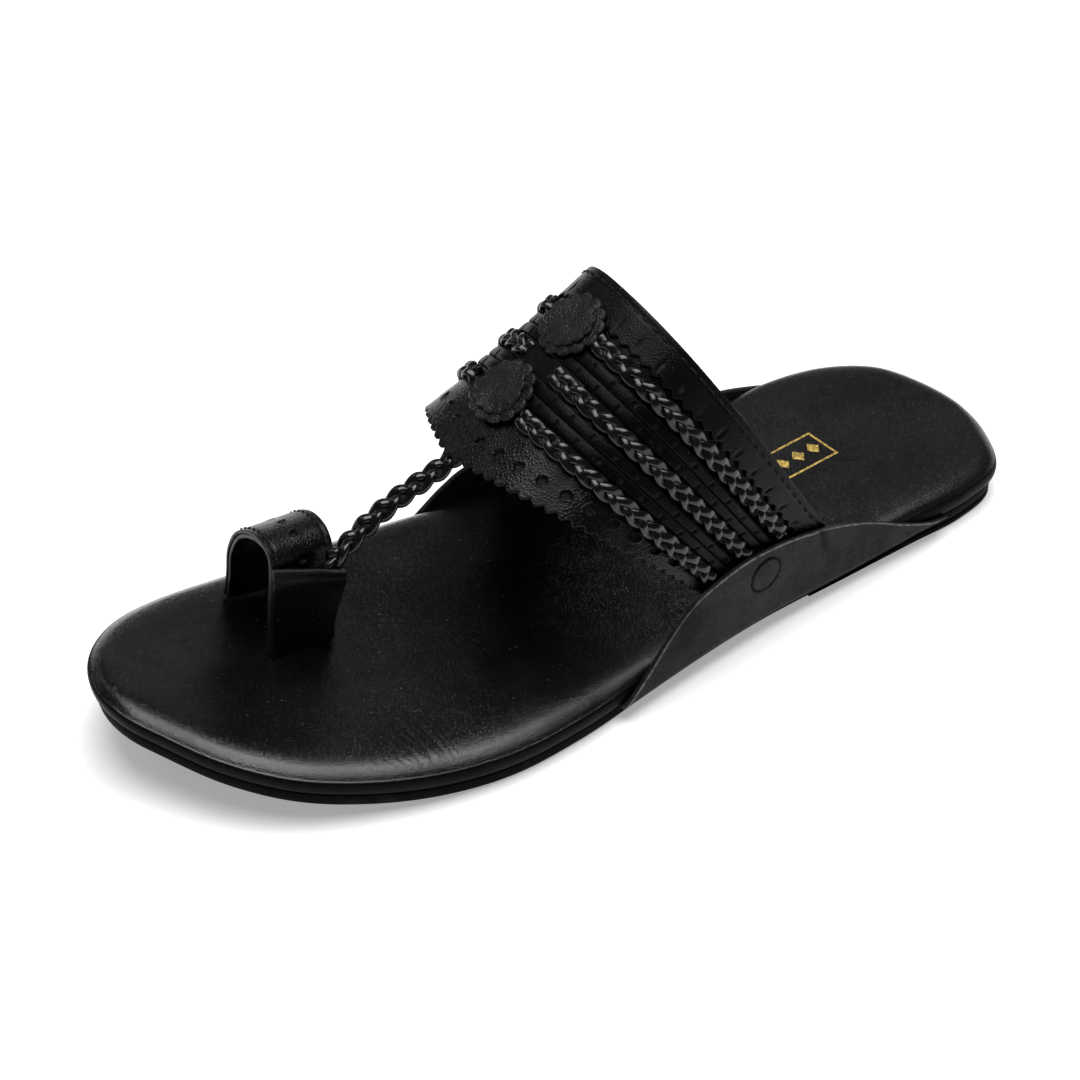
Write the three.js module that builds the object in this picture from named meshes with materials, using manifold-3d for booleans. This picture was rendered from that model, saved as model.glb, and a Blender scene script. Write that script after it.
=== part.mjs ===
// A Kolhapuri sandal for the left foot: a wrapped footbed on a thin outsole, two side ears, and an
// upper of one leather band over the instep, a braided T-strap and a big-toe loop.
//
// Everything is worked out in shoe coordinates, in millimetres: "along" runs from the back of the
// heel to the toe tip, "side" is positive towards the little toe, and "height" is up from the floor.
// The group at the end turns the shoe so that +X is lateral, +Y is the heel end and +Z is up, with
// the origin on the floor at the middle of the sandal's box.

import * as THREE from "three";
import { mergeVertices } from "three/addons/utils/BufferGeometryUtils.js";
import Module from "manifold-3d";

const wasm = await Module();
wasm.setup();

// ---------------------------------------------------------------- driving dimensions (mm)

const LENGTH = 280; // heel back to toe tip
const BOX_MIDDLE_SIDE = 11.13; // the middle of the whole sandal's width, in shoe coordinates
const GAP = 0.3; // between pieces that meet

const FOREPART_THICKNESS = 3.6; // outsole
const HEEL_LIFT = 2.0; // what the outsole gains at the heel
const HEEL_BREAST = { front: 95, rear: 35 }; // the lift grows from front to rear along the sole
const OUTSOLE_INSET = 1.5; // the outsole stays inside the footbed's outline
const OUTSOLE_CHAMFER = 0.9;
const FOOTBED_THICKNESS = 8.0;
const ARCH = { rear: 60, front: 165, rise: 1.8 };
const TOE_SPRING = { start: 185, rise: 15.8 };

const WALL = 2.4; // the band where strips lie on its base layer
const FRONT_PANEL = { wall: 1.5, from: 0.72, step: 0.03 }; // the bare base layer, ahead of the braids
const EAR_WALL = 1.7;
const EAR_CLEARANCE = 0.55; // ear to the footbed's round edge, which it follows up to the widest ring
const EAR_FLARE = 0.045; // outward lean of the ear above that, per mm of height
const EAR_ROWS = 7;
const LEAST_EAR = 0.8; // height of an ear at its tips
const RIVET_CAP = { radius: 5.3, proud: 0.3, reach: 12, sides: 20 };

const STRAP_RADIUS = 3.2; // T-strap
const LOOP_WALL = 2.6;
const LOOP_SPAN = { rear: 212.5, front: 231.5, lean: 2.5, turn: 3.2 };
// The sheath of the loop's lateral leg, at its rear and front edges; both edges lean back as they
// rise, and the rear one stands off from the leg by as much as the T-strap needs.
const TAB = {
  wall: 1.6,
  rear: { along: 214.5, top: 42.4, lean: 3.2 },
  front: { along: 231.8, top: 44.2, lean: 2.4 },
  standOff: 8.2,
};

const BRAID = { width: 6.4, rise: 1.9, edge: 0.5, bottom: 0.83 };
// A rosette's two discs, the depth of their scallops, and the radius it is bent to over the ridge.
const ROSETTE = { lobes: 15, outer: 10.3, inner: 8.2, tier: 1.3, scallop: 0.035, bend: 90 };

// Outline of the footbed, with the two round ends as points of their own.
const SOLE_OUTLINE = [
  { along: 2.5, lateral: 15.5, medial: -13.5 },
  { along: 10, lateral: 29.6, medial: -28.4 },
  { along: 25, lateral: 35.6, medial: -37.1 },
  { along: 45, lateral: 38.1, medial: -38.9 },
  { along: 70, lateral: 41.1, medial: -35.0 },
  { along: 95, lateral: 44.8, medial: -32.8 },
  { along: 120, lateral: 49.7, medial: -33.4 },
  { along: 145, lateral: 55.0, medial: -36.2 },
  { along: 170, lateral: 60.8, medial: -38.9 },
  { along: 190, lateral: 63.4, medial: -39.5 },
  { along: 210, lateral: 62.2, medial: -38.9 },
  { along: 230, lateral: 57.5, medial: -37.2 },
  { along: 248, lateral: 49.8, medial: -33.3 },
  { along: 262, lateral: 38.2, medial: -26.8 },
  { along: 272, lateral: 24.5, medial: -17.5 },
  { along: 278, lateral: 14.5, medial: -7.0 },
];
const HEEL_BACK_SIDE = 1;
const TOE_TIP_SIDE = 4.5;

// Round edge of the footbed: how far each ring lies inside the outline, and its height.
const FOOTBED_EDGE = [
  { inset: 1.6, height: 0 },
  { inset: 0.4, height: 1.4 },
  { inset: 0, height: 3.4 },
  { inset: 0.5, height: 5.4 },
  { inset: 1.7, height: 7.0 },
  { inset: 3.6, height: 7.8 },
  { inset: 6.0, height: 8.0 },
];

// Top edge of each ear, from the tail near the heel to the front tip.
const EAR_TOP = {
  lateral: [
    { along: 34, top: 6.4 },
    { along: 40, top: 7.8 },
    { along: 52, top: 13 },
    { along: 66, top: 20.5 },
    { along: 80, top: 26 },
    { along: 92, top: 29 },
    { along: 104, top: 31 },
    { along: 114, top: 31.6 },
    { along: 124, top: 30.2 },
    { along: 132, top: 27.6 },
    { along: 141, top: 20.6 },
    { along: 149, top: 11.9 },
    { along: 156, top: 5.2 },
  ],
  medial: [
    { along: 34, top: 6.4 },
    { along: 46, top: 9.8 },
    { along: 60, top: 14.2 },
    { along: 76, top: 18 },
    { along: 91, top: 20.6 },
    { along: 110, top: 20 },
    { along: 128, top: 19.6 },
    { along: 143, top: 19.8 },
    { along: 150, top: 18.6 },
    { along: 157, top: 14 },
    { along: 163, top: 8.8 },
    { along: 167, top: 5.2 },
  ],
};
const RIVET = {
  lateral: { along: 106.6, height: 23.2 },
  medial: { along: 115, height: 14.2 },
};

// The band is a fan of ribs from the ridge down to each ear. "rear" and "front" name its two ends.
const RIDGE = {
  rear: { along: 125.5, side: 1.5, height: 96.5 },
  front: { along: 179.6, side: 4.6, height: 62.8 },
};
// Where a rib meets the top of its ear, how far outside the outline, and the two Bezier handles that
// shape it, as shares of its width (crown) and its height (flank).
const FLANK = {
  lateral: { rear: 82.9, front: 145.4, height: 27.4, outside: 0.6, crown: 0.6, flank: 0.79, foot: -1.2 },
  medial: { rear: 89, front: 160, height: 18.6, outside: -0.4, crown: 0.68, flank: 0.68, foot: -1.4 },
};
const RIDGE_SHARE = 0.86; // share of a rib's run that lies above the ear line
// The front edge draws back from the ridge to the ear, as a share of the fan.
const FRONT_EDGE = { lateral: 0.736, medial: 0.74 };

// Braids: their place across the band at the ridge and at the ear, as shares from rear to front, and
// the share of the rib where each one's top end lies, on the lateral and the medial side.
const BRAIDS = [
  { name: "1", ridge: 0.675, ear: 0.635, lateral: 0.165, medial: 0.185 },
  { name: "2", ridge: 0.455, ear: 0.428, lateral: 0.11, medial: 0.05 },
  { name: "3", ridge: 0.24, ear: 0.216, lateral: 0.168, medial: 0.185 },
];
const ROSETTES = [
  { name: "rear", share: 0.255, across: 0.02 },
  { name: "front", share: 0.645, across: 0.01 },
];

// Outer face of the toe loop at its front edge, from the medial leg over the top to the lateral leg.
const LOOP_ARCH = [
  { side: -25.6, rise: 0 },
  { side: -23.9, rise: 8.5 },
  { side: -23.2, rise: 16.5 },
  { side: -19, rise: 24.6 },
  { side: -12.5, rise: 29.8 },
  { side: -5.5, rise: 32.6 },
  { side: 0.5, rise: 32.4 },
  { side: 3.6, rise: 29.6 },
  { side: 4.4, rise: 24 },
  { side: 3.7, rise: 12 },
  { side: 3.8, rise: 0 },
];

// Centre line of the T-strap, from under the band to inside the sheath of the loop's lateral leg.
const STRAP_PATH = [
  { along: 163, side: 3.6, height: 68.2 },
  { along: 170.5, side: 4.0, height: 63.4 },
  { along: 178, side: 4.6, height: 58.8 },
  { along: 186, side: 5.4, height: 56.4 },
  { along: 194, side: 6.3, height: 54.2 },
  { along: 202, side: 7.1, height: 50.8 },
  { along: 209, side: 7.9, height: 46.8 },
  { along: 214, side: 7.8, height: 42.6 },
  { along: 217.5, side: 6.4, height: 37.2 },
  { along: 219, side: 5.2, height: 31.4 },
];

// ---------------------------------------------------------------- looks of the CAD model

const LEATHER = { color: 0x171717, roughness: 0.45, metalness: 0 };
const FOOTBED_LEATHER = { color: 0x1d1d1e, roughness: 0.5, metalness: 0 };
const RUBBER = { color: 0x0f0f0f, roughness: 0.7, metalness: 0 };

// ---------------------------------------------------------------- small helpers

const { lerp, clamp, smoothstep } = THREE.MathUtils;

// A smooth curve through one column of a table, as a function of another column. Each stretch is a
// cubic whose end slopes are those of the chords between the rows on both sides.
function column(table, name, key = "along") {
  const last = table.length - 1;
  const slope = (i) => {
    const a = table[Math.max(i - 1, 0)];
    const b = table[Math.min(i + 1, last)];
    return (b[name] - a[name]) / (b[key] - a[key]);
  };
  return (x) => {
    const inside = clamp(x, table[0][key], table[last][key]);
    let i = 0;
    while (i < last - 1 && table[i + 1][key] < inside) i++;
    const run = table[i + 1][key] - table[i][key];
    const t = (inside - table[i][key]) / run;
    const rise = table[i + 1][name] - table[i][name];
    const bend = (1 - t) * (slope(i) * run - rise) - t * (slope(i + 1) * run - rise);
    return table[i][name] + rise * t + t * (1 - t) * bend;
  };
}

// A mesh's geometry as a manifold-3d solid: shared corners merged, collapsed triangles dropped.
function solidOf(geometry) {
  const bare = new THREE.BufferGeometry();
  bare.setAttribute("position", geometry.getAttribute("position").clone());
  if (geometry.index) bare.setIndex(geometry.index.clone());
  const merged = mergeVertices(bare, 1e-4);
  const corners = merged.index.array;
  const kept = [];
  for (let i = 0; i < corners.length; i += 3) {
    const [a, b, c] = [corners[i], corners[i + 1], corners[i + 2]];
    if (a !== b && b !== c && c !== a) kept.push(a, b, c);
  }
  const mesh = new wasm.Mesh({
    numProp: 3,
    vertProperties: new Float32Array(merged.getAttribute("position").array),
    triVerts: new Uint32Array(kept),
  });
  return new wasm.Manifold(mesh);
}

// A solid back as geometry that three.js can draw.
function geometryOf(solid) {
  const mesh = solid.getMesh();
  const corners = new Float32Array(mesh.numVert * 3);
  for (let i = 0; i < mesh.numVert; i++) {
    corners.set(mesh.vertProperties.subarray(i * mesh.numProp, i * mesh.numProp + 3), i * 3);
  }
  const geometry = new THREE.BufferGeometry();
  geometry.setAttribute("position", new THREE.BufferAttribute(corners, 3));
  geometry.setIndex(new THREE.BufferAttribute(mesh.triVerts, 1));
  geometry.computeVertexNormals();
  return geometry;
}

// A closed sheet with thickness: at(u, v, layer) gives a point, u and v from 0 to 1, layer 0 on one
// face and 1 on the other. Both faces are grids, and four strips close the rim.
function sheet(columns, rows, at) {
  const points = [];
  const index = [];
  const number = (i, j, layer) => (layer * (columns + 1) + i) * (rows + 1) + j;
  for (const layer of [0, 1]) {
    for (let i = 0; i <= columns; i++) {
      for (let j = 0; j <= rows; j++) points.push(...at(i / columns, j / rows, layer).toArray());
    }
  }
  const quad = (a, b, c, d) => index.push(a, b, c, a, c, d);
  for (let i = 0; i < columns; i++) {
    for (let j = 0; j < rows; j++) {
      quad(number(i, j, 1), number(i + 1, j, 1), number(i + 1, j + 1, 1), number(i, j + 1, 1));
      quad(number(i, j, 0), number(i, j + 1, 0), number(i + 1, j + 1, 0), number(i + 1, j, 0));
    }
    quad(number(i, 0, 0), number(i + 1, 0, 0), number(i + 1, 0, 1), number(i, 0, 1));
    quad(number(i, rows, 1), number(i + 1, rows, 1), number(i + 1, rows, 0), number(i, rows, 0));
  }
  for (let j = 0; j < rows; j++) {
    quad(number(0, j, 1), number(0, j + 1, 1), number(0, j + 1, 0), number(0, j, 0));
    quad(number(columns, j, 0), number(columns, j + 1, 0), number(columns, j + 1, 1), number(columns, j, 1));
  }
  const geometry = new THREE.BufferGeometry();
  geometry.setAttribute("position", new THREE.Float32BufferAttribute(points, 3));
  geometry.setIndex(index);
  return facingOut(geometry);
}

// A closed solid of rings one after another: at(ring, turn) gives a point, and the first and last
// ring shrink to a point each.
function ringStack(rings, sides, at) {
  const points = [];
  const index = [];
  for (let r = 0; r < rings; r++) {
    for (let i = 0; i < sides; i++) points.push(...at(r, (2 * Math.PI * i) / sides).toArray());
  }
  for (let r = 0; r + 1 < rings; r++) {
    for (let i = 0; i < sides; i++) {
      const next = (i + 1) % sides;
      const [low, high] = [r * sides, (r + 1) * sides];
      index.push(low + i, low + next, high + next, low + i, high + next, high + i);
    }
  }
  const geometry = new THREE.BufferGeometry();
  geometry.setAttribute("position", new THREE.Float32BufferAttribute(points, 3));
  geometry.setIndex(index);
  return facingOut(geometry);
}

// The same geometry with its faces turned over if they enclose a negative volume.
function facingOut(geometry) {
  const p = geometry.getAttribute("position");
  const index = geometry.index.array;
  const [a, b, c] = [new THREE.Vector3(), new THREE.Vector3(), new THREE.Vector3()];
  let volume = 0;
  for (let i = 0; i < index.length; i += 3) {
    a.fromBufferAttribute(p, index[i]);
    b.fromBufferAttribute(p, index[i + 1]);
    c.fromBufferAttribute(p, index[i + 2]);
    volume += a.dot(b.cross(c));
  }
  if (volume < 0) {
    for (let i = 0; i < index.length; i += 3) {
      [index[i + 1], index[i + 2]] = [index[i + 2], index[i + 1]];
    }
  }
  return geometry;
}

function pieceMesh(name, solid, look) {
  const mesh = new THREE.Mesh(geometryOf(solid), new THREE.MeshStandardMaterial(look));
  mesh.name = name;
  return mesh;
}

// ---------------------------------------------------------------- sole

const outlineCurve = new THREE.CatmullRomCurve3(
  [
    new THREE.Vector3(0, HEEL_BACK_SIDE, 0),
    ...SOLE_OUTLINE.map((row) => new THREE.Vector3(row.along, row.lateral, 0)),
    new THREE.Vector3(LENGTH, TOE_TIP_SIDE, 0),
    ...SOLE_OUTLINE.map((row) => new THREE.Vector3(row.along, row.medial, 0)).reverse(),
  ],
  true,
);

// The outline's side at a distance along the shoe, on the lateral (+1) or medial (-1) half.
const OUTLINE_STEPS = 900;
const outlinePoints = outlineCurve.getSpacedPoints(OUTLINE_STEPS);
const toeIndex = outlinePoints.reduce((best, p, i) => (p.x > outlinePoints[best].x ? i : best), 0);
function halfOutline(sign) {
  const points = sign > 0 ? outlinePoints.slice(0, toeIndex + 1) : outlinePoints.slice(toeIndex).reverse();
  return points.filter((p, i) => i === 0 || p.x > Math.max(...points.slice(0, i).map((q) => q.x)));
}
const HALVES = { 1: halfOutline(1), [-1]: halfOutline(-1) };
function edgeSide(along, sign) {
  const points = HALVES[sign];
  const last = points.length - 1;
  if (along <= points[0].x) return points[0].y;
  if (along >= points[last].x) return points[last].y;
  let i = 0;
  while (points[i + 1].x < along) i++;
  const [p, q] = [points[i], points[i + 1]];
  return lerp(p.y, q.y, (along - p.x) / (q.x - p.x));
}

// Unit vector in plan that points away from the sole, square to its edge.
function edgeOutward(along, sign) {
  const step = 2;
  const slope = (edgeSide(along + step, sign) - edgeSide(along - step, sign)) / (2 * step);
  return new THREE.Vector3(-slope, 1, 0).multiplyScalar(sign).normalize();
}

// Height of the outsole's underside above the floor: flat heel, low arch, flat ball, toe spring.
function ground(along) {
  const inArch = along > ARCH.rear && along < ARCH.front;
  const archTurn = (Math.PI * (along - ARCH.rear)) / (ARCH.front - ARCH.rear);
  const archShare = inArch ? Math.sin(archTurn) ** 2 : 0;
  const toeShare = Math.max(0, (along - TOE_SPRING.start) / (LENGTH - TOE_SPRING.start));
  return ARCH.rise * archShare + TOE_SPRING.rise * toeShare ** 2;
}
const heelShare = (along) => 1 - smoothstep(along, HEEL_BREAST.rear, HEEL_BREAST.front);
const outsoleTop = (along) => ground(along) + FOREPART_THICKNESS + HEEL_LIFT * heelShare(along);
const footbedUnderside = (along) => outsoleTop(along) + GAP;
const footbedTop = (along) => footbedUnderside(along) + FOOTBED_THICKNESS;

// A slab with the sole's outline: stations lie close together at the round ends, each ring is the
// outline moved inwards by its inset, and height(along, ring) lifts it. The top and underside are
// grids of straight lines from the lateral to the medial half of the last and first ring.
const STATIONS = 34;
const ACROSS = 4;
function soleSlab(rings, height) {
  const stationAlong = (k) => (LENGTH * (1 - Math.cos((Math.PI * k) / STATIONS))) / 2;
  const ringPoint = (ring, k, sign) => {
    const atEnd = k === 0 || k === STATIONS;
    const x = stationAlong(k);
    if (atEnd) {
      const end = k === 0 ? ring.inset : LENGTH - ring.inset;
      return new THREE.Vector3(end, k === 0 ? HEEL_BACK_SIDE : TOE_TIP_SIDE, height(end, ring));
    }
    // The edge's direction comes from two points 2 mm away, or closer by the round ends.
    const near = Math.min(2, 0.4 * x, 0.4 * (LENGTH - x));
    const before = new THREE.Vector3(x - near, edgeSide(x - near, sign), 0);
    const after = new THREE.Vector3(x + near, edgeSide(x + near, sign), 0);
    const run = after.sub(before).normalize();
    const inward = new THREE.Vector3(run.y, -run.x, 0).multiplyScalar(sign);
    const p = new THREE.Vector3(x, edgeSide(x, sign), 0).addScaledVector(inward, ring.inset);
    p.z = height(p.x, ring);
    return p;
  };
  const points = [];
  const index = [];
  const quad = (a, b, c, d) => index.push(a, b, c, a, c, d);
  const add = (p) => points.push(...p.toArray()) / 3 - 1;
  const ringLoop = (ring) => {
    const loop = [];
    for (let k = 0; k <= STATIONS; k++) loop.push(add(ringPoint(ring, k, 1)));
    for (let k = STATIONS - 1; k > 0; k--) loop.push(add(ringPoint(ring, k, -1)));
    return loop;
  };
  const loops = rings.map(ringLoop);
  for (let r = 0; r + 1 < loops.length; r++) {
    const count = loops[r].length;
    for (let i = 0; i < count; i++) {
      const next = (i + 1) % count;
      quad(loops[r][i], loops[r + 1][i], loops[r + 1][next], loops[r][next]);
    }
  }
  const cap = (ring, turned) => {
    const grid = [];
    for (let k = 0; k <= STATIONS; k++) {
      const a = ringPoint(ring, k, 1);
      const b = ringPoint(ring, k, -1);
      const row = [];
      for (let j = 0; j <= ACROSS; j++) {
        const p = a.clone().lerp(b, j / ACROSS);
        if (j > 0 && j < ACROSS) p.z = height(p.x, ring);
        row.push(add(p));
      }
      grid.push(row);
    }
    for (let k = 0; k < STATIONS; k++) {
      for (let j = 0; j < ACROSS; j++) {
        const corners = [grid[k][j], grid[k + 1][j], grid[k + 1][j + 1], grid[k][j + 1]];
        quad(...(turned ? corners.reverse() : corners));
      }
    }
  };
  cap(rings[rings.length - 1], true);
  cap(rings[0], false);
  const geometry = new THREE.BufferGeometry();
  geometry.setAttribute("position", new THREE.Float32BufferAttribute(points, 3));
  geometry.setIndex(index);
  return facingOut(geometry);
}

function makeOutsole() {
  const rings = [
    { inset: OUTSOLE_INSET + OUTSOLE_CHAMFER, share: 0 },
    { inset: OUTSOLE_INSET, share: 0.25 },
    { inset: OUTSOLE_INSET, share: 1 },
  ];
  const height = (along, ring) => lerp(ground(along), outsoleTop(along), ring.share);
  return pieceMesh("outsole", solidOf(soleSlab(rings, height)), RUBBER);
}

function makeFootbed() {
  const height = (along, ring) => footbedUnderside(along) + ring.height;
  return pieceMesh("footbed", solidOf(soleSlab(FOOTBED_EDGE, height)), FOOTBED_LEATHER);
}

// ---------------------------------------------------------------- ears and rivets

const SIGN = { lateral: 1, medial: -1 };
const edgeInset = column(FOOTBED_EDGE, "inset", "height");
const WIDEST = FOOTBED_EDGE.find((ring) => ring.inset === 0).height;

// A point on an ear: "deep" is measured outwards from the ear's inner face.
function earPoint(which, along, height, deep) {
  const sign = SIGN[which];
  const above = height - footbedUnderside(along);
  const follow = EAR_CLEARANCE - edgeInset(Math.min(above, WIDEST));
  const lean = EAR_FLARE * Math.max(above - WIDEST, 0);
  const p = new THREE.Vector3(along, edgeSide(along, sign), height);
  return p.addScaledVector(edgeOutward(along, sign), follow + lean + deep);
}

// The ear between its inner face and a face "thick" outside it. Its lowest rows follow the rings of
// the footbed's edge, and the rest are evenly spread up to the top edge.
function earShell(which, thick) {
  const table = EAR_TOP[which];
  const top = column(table, "top");
  const [tail, tip] = [table[0].along, table[table.length - 1].along];
  const rowRise = (row, rise) => {
    const low = FOOTBED_EDGE.filter((ring) => ring.height <= WIDEST).map((ring) => ring.height);
    const fit = Math.min(1, rise / (2 * WIDEST));
    if (row < low.length) return low[row] * fit;
    return lerp(WIDEST * fit, rise, (row - low.length + 1) / (EAR_ROWS - low.length + 1));
  };
  return solidOf(
    sheet(20, EAR_ROWS, (u, v, layer) => {
      const along = lerp(tail, tip, u);
      const bottom = footbedUnderside(along);
      const rise = Math.max(top(along) - bottom, LEAST_EAR);
      return earPoint(which, along, bottom + rowRise(Math.round(v * EAR_ROWS), rise), layer * thick);
    }),
  );
}

// A plug square to the ear at its rivet.
function rivetPlug(which, radius) {
  const { along, height } = RIVET[which];
  const plug = new THREE.CylinderGeometry(radius, radius, RIVET_CAP.reach, RIVET_CAP.sides);
  const outward = edgeOutward(along, SIGN[which]);
  plug.applyQuaternion(new THREE.Quaternion().setFromUnitVectors(new THREE.Vector3(0, 1, 0), outward));
  const centre = earPoint(which, along, height, 0);
  plug.translate(centre.x, centre.y, centre.z);
  return solidOf(plug);
}

function makeEar(which) {
  const shell = earShell(which, EAR_WALL).subtract(rivetPlug(which, RIVET_CAP.radius + GAP));
  return pieceMesh("ear_" + which, shell, LEATHER);
}

function makeRivetCap(which) {
  const disc = earShell(which, EAR_WALL + RIVET_CAP.proud);
  const cap = disc.intersect(rivetPlug(which, RIVET_CAP.radius));
  return pieceMesh("rivet_cap_" + which, cap, LEATHER);
}

// ---------------------------------------------------------------- upper: band, T-strap, toe loop

// A point on the band's outer face. "share" runs from the rear edge (0) to the front of the fan (1),
// and "run" from the ridge (0) down to the foot of the wall (1). Above the ear line the rib is a
// cubic Bezier that leaves the ridge level, and below it the rib goes on straight to the footbed.
function ribPoint(which, share, run) {
  const sign = SIGN[which];
  const flank = FLANK[which];
  const top = new THREE.Vector3(
    lerp(RIDGE.rear.along, RIDGE.front.along, share),
    lerp(RIDGE.rear.side, RIDGE.front.side, share),
    lerp(RIDGE.rear.height, RIDGE.front.height, share),
  );
  const along = lerp(flank.rear, flank.front, share);
  const ear = new THREE.Vector3(along, edgeSide(along, sign) + sign * flank.outside, flank.height);
  const crown = top.clone();
  crown.y += flank.crown * (ear.y - top.y);
  const shoulder = ear.clone();
  shoulder.x += flank.flank * (top.x - ear.x);
  shoulder.z += flank.flank * (top.z - ear.z);
  if (run <= RIDGE_SHARE) {
    return new THREE.CubicBezierCurve3(top, crown, shoulder, ear).getPoint(run / RIDGE_SHARE);
  }
  const below = (run - RIDGE_SHARE) / (1 - RIDGE_SHARE);
  const drop = ear.clone().sub(shoulder).normalize();
  const footAlong = ear.x + (drop.x / drop.z) * (footbedTop(ear.x) - ear.z);
  const foot = new THREE.Vector3(footAlong, 0, footbedTop(footAlong) + 2 * GAP);
  foot.y = edgeSide(footAlong, sign) + sign * flank.foot;
  return ear.lerp(foot, below);
}

// The same with one number across the whole band: -1 medial foot, 0 ridge, +1 lateral foot.
function bandPoint(share, across) {
  return ribPoint(across < 0 ? "medial" : "lateral", share, Math.abs(across));
}

// Outward normal of the band, from its two directions.
function bandNormal(share, across) {
  const step = 0.004;
  const a = clamp(across, step - 1, 1 - step);
  const around = bandPoint(share, a + step).sub(bandPoint(share, a - step));
  const forward = bandPoint(share + step, a).sub(bandPoint(share - step, a));
  return forward.cross(around).normalize();
}

function bandOffset(share, across, offset) {
  return bandPoint(share, across).addScaledVector(bandNormal(share, across), offset);
}

// The front edge draws back from the tip at the ridge to each ear.
function frontShare(across) {
  const edge = across < 0 ? FRONT_EDGE.medial : FRONT_EDGE.lateral;
  return lerp(1, edge, Math.min(1, Math.abs(across) / RIDGE_SHARE));
}

// Rows of the band from its rear edge: even ones up to the front panel, one for the step down to it,
// and the front edge.
const BAND_ROWS = 8;
function bandRow(row, front) {
  const { from, step } = FRONT_PANEL;
  const panel = from * front;
  if (row === BAND_ROWS) return front;
  if (row === BAND_ROWS - 1) return panel + step;
  return lerp(0, panel, row / (BAND_ROWS - 2));
}

function bandShell() {
  return solidOf(
    sheet(44, BAND_ROWS, (u, v, layer) => {
      const across = lerp(-1, 1, u);
      const row = Math.round(v * BAND_ROWS);
      const outside = row >= BAND_ROWS - 1 ? FRONT_PANEL.wall : WALL;
      return bandOffset(bandRow(row, frontShare(across)), across, layer * outside - WALL);
    }),
  );
}

// The loop leans back as it rises and turns medially towards the rear. Its legs end just above the
// footbed, whose toe spring they follow.
const loopSection = new THREE.CatmullRomCurve3(
  LOOP_ARCH.map((row) => new THREE.Vector3(0, row.side, row.rise)),
);
const loopCrown = Math.max(...LOOP_ARCH.map((row) => row.rise));
function toeLoop() {
  return solidOf(
    sheet(34, 4, (u, v, layer) => {
      const outer = loopSection.getPointAt(u);
      const run = loopSection.getTangentAt(u);
      const outward = new THREE.Vector3(0, -run.z, run.y);
      const p = outer.clone().addScaledVector(outward, LOOP_WALL * (layer - 1));
      const risen = outer.z / loopCrown;
      const along = lerp(LOOP_SPAN.rear, LOOP_SPAN.front, v) - LOOP_SPAN.lean * risen;
      p.x = along;
      p.y -= LOOP_SPAN.turn * (1 - v) * risen;
      p.z = Math.max(p.z, 0) + footbedTop(along) + 2 * GAP;
      return p;
    }),
  );
}

function tStrap() {
  const section = new THREE.Shape().absarc(0, 0, STRAP_RADIUS, 0, 2 * Math.PI);
  const extrudePath = new THREE.CatmullRomCurve3(
    STRAP_PATH.map((row) => new THREE.Vector3(row.along, row.side, row.height)),
  );
  const round = { steps: 26, curveSegments: 5, extrudePath, bevelEnabled: false };
  const strap = new THREE.BufferGeometry();
  strap.setAttribute("position", new THREE.ExtrudeGeometry(section, round).getAttribute("position"));
  return solidOf(facingOut(mergeVertices(strap, 1e-4)));
}

function makeUpper() {
  return pieceMesh("upper", bandShell().add(tStrap()).add(toeLoop()), LEATHER);
}

// ---------------------------------------------------------------- trims

// The sheath of the loop's lateral leg: close to the leg in front and below, and standing off
// towards the rear and the top, where the T-strap goes into it.
function makeToeTab() {
  const { rear, front } = TAB;
  const legSide = column(LOOP_ARCH.slice(-4).reverse(), "side", "rise");
  const solid = solidOf(
    sheet(10, 8, (u, v, layer) => {
      const along = lerp(front.along, rear.along, u) - lerp(front.lean, rear.lean, u) * v;
      const bottom = footbedTop(along) + 2 * GAP;
      const height = lerp(bottom, lerp(front.top, rear.top, u), v);
      const standOff = TAB.standOff * smoothstep(u, 0, 0.62) * smoothstep(v, 0.12, 0.9);
      const side = legSide(height - bottom) + GAP + standOff + TAB.wall * layer;
      return new THREE.Vector3(along, side, height);
    }),
  );
  return pieceMesh("toe_tab", solid, LEATHER);
}

// A braid: a half-round bar that lies on the band's own surface, just clear of it.
function makeBraid(which, braid) {
  const sign = SIGN[which];
  const solid = solidOf(
    sheet(14, 4, (u, v, layer) => {
      const run = lerp(braid[which], BRAID.bottom, u);
      const share = lerp(braid.ridge, braid.ear, u);
      const halfShare = shareFor(BRAID.width / 2, share, sign * run);
      const w = lerp(-1, 1, v);
      const lift = GAP + layer * lerp(BRAID.edge, BRAID.rise, Math.sqrt(1 - w * w));
      return bandOffset(share + halfShare * w, sign * run, lift);
    }),
  );
  return pieceMesh("braid_" + which + "_" + braid.name, solid, LEATHER);
}

// How much of the fan's share a length across the ribs takes up at a place on the band.
function shareFor(length, share, across) {
  const step = 0.01;
  const apart = bandPoint(share + step, across).distanceTo(bandPoint(share - step, across));
  return (length * 2 * step) / apart;
}

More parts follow.
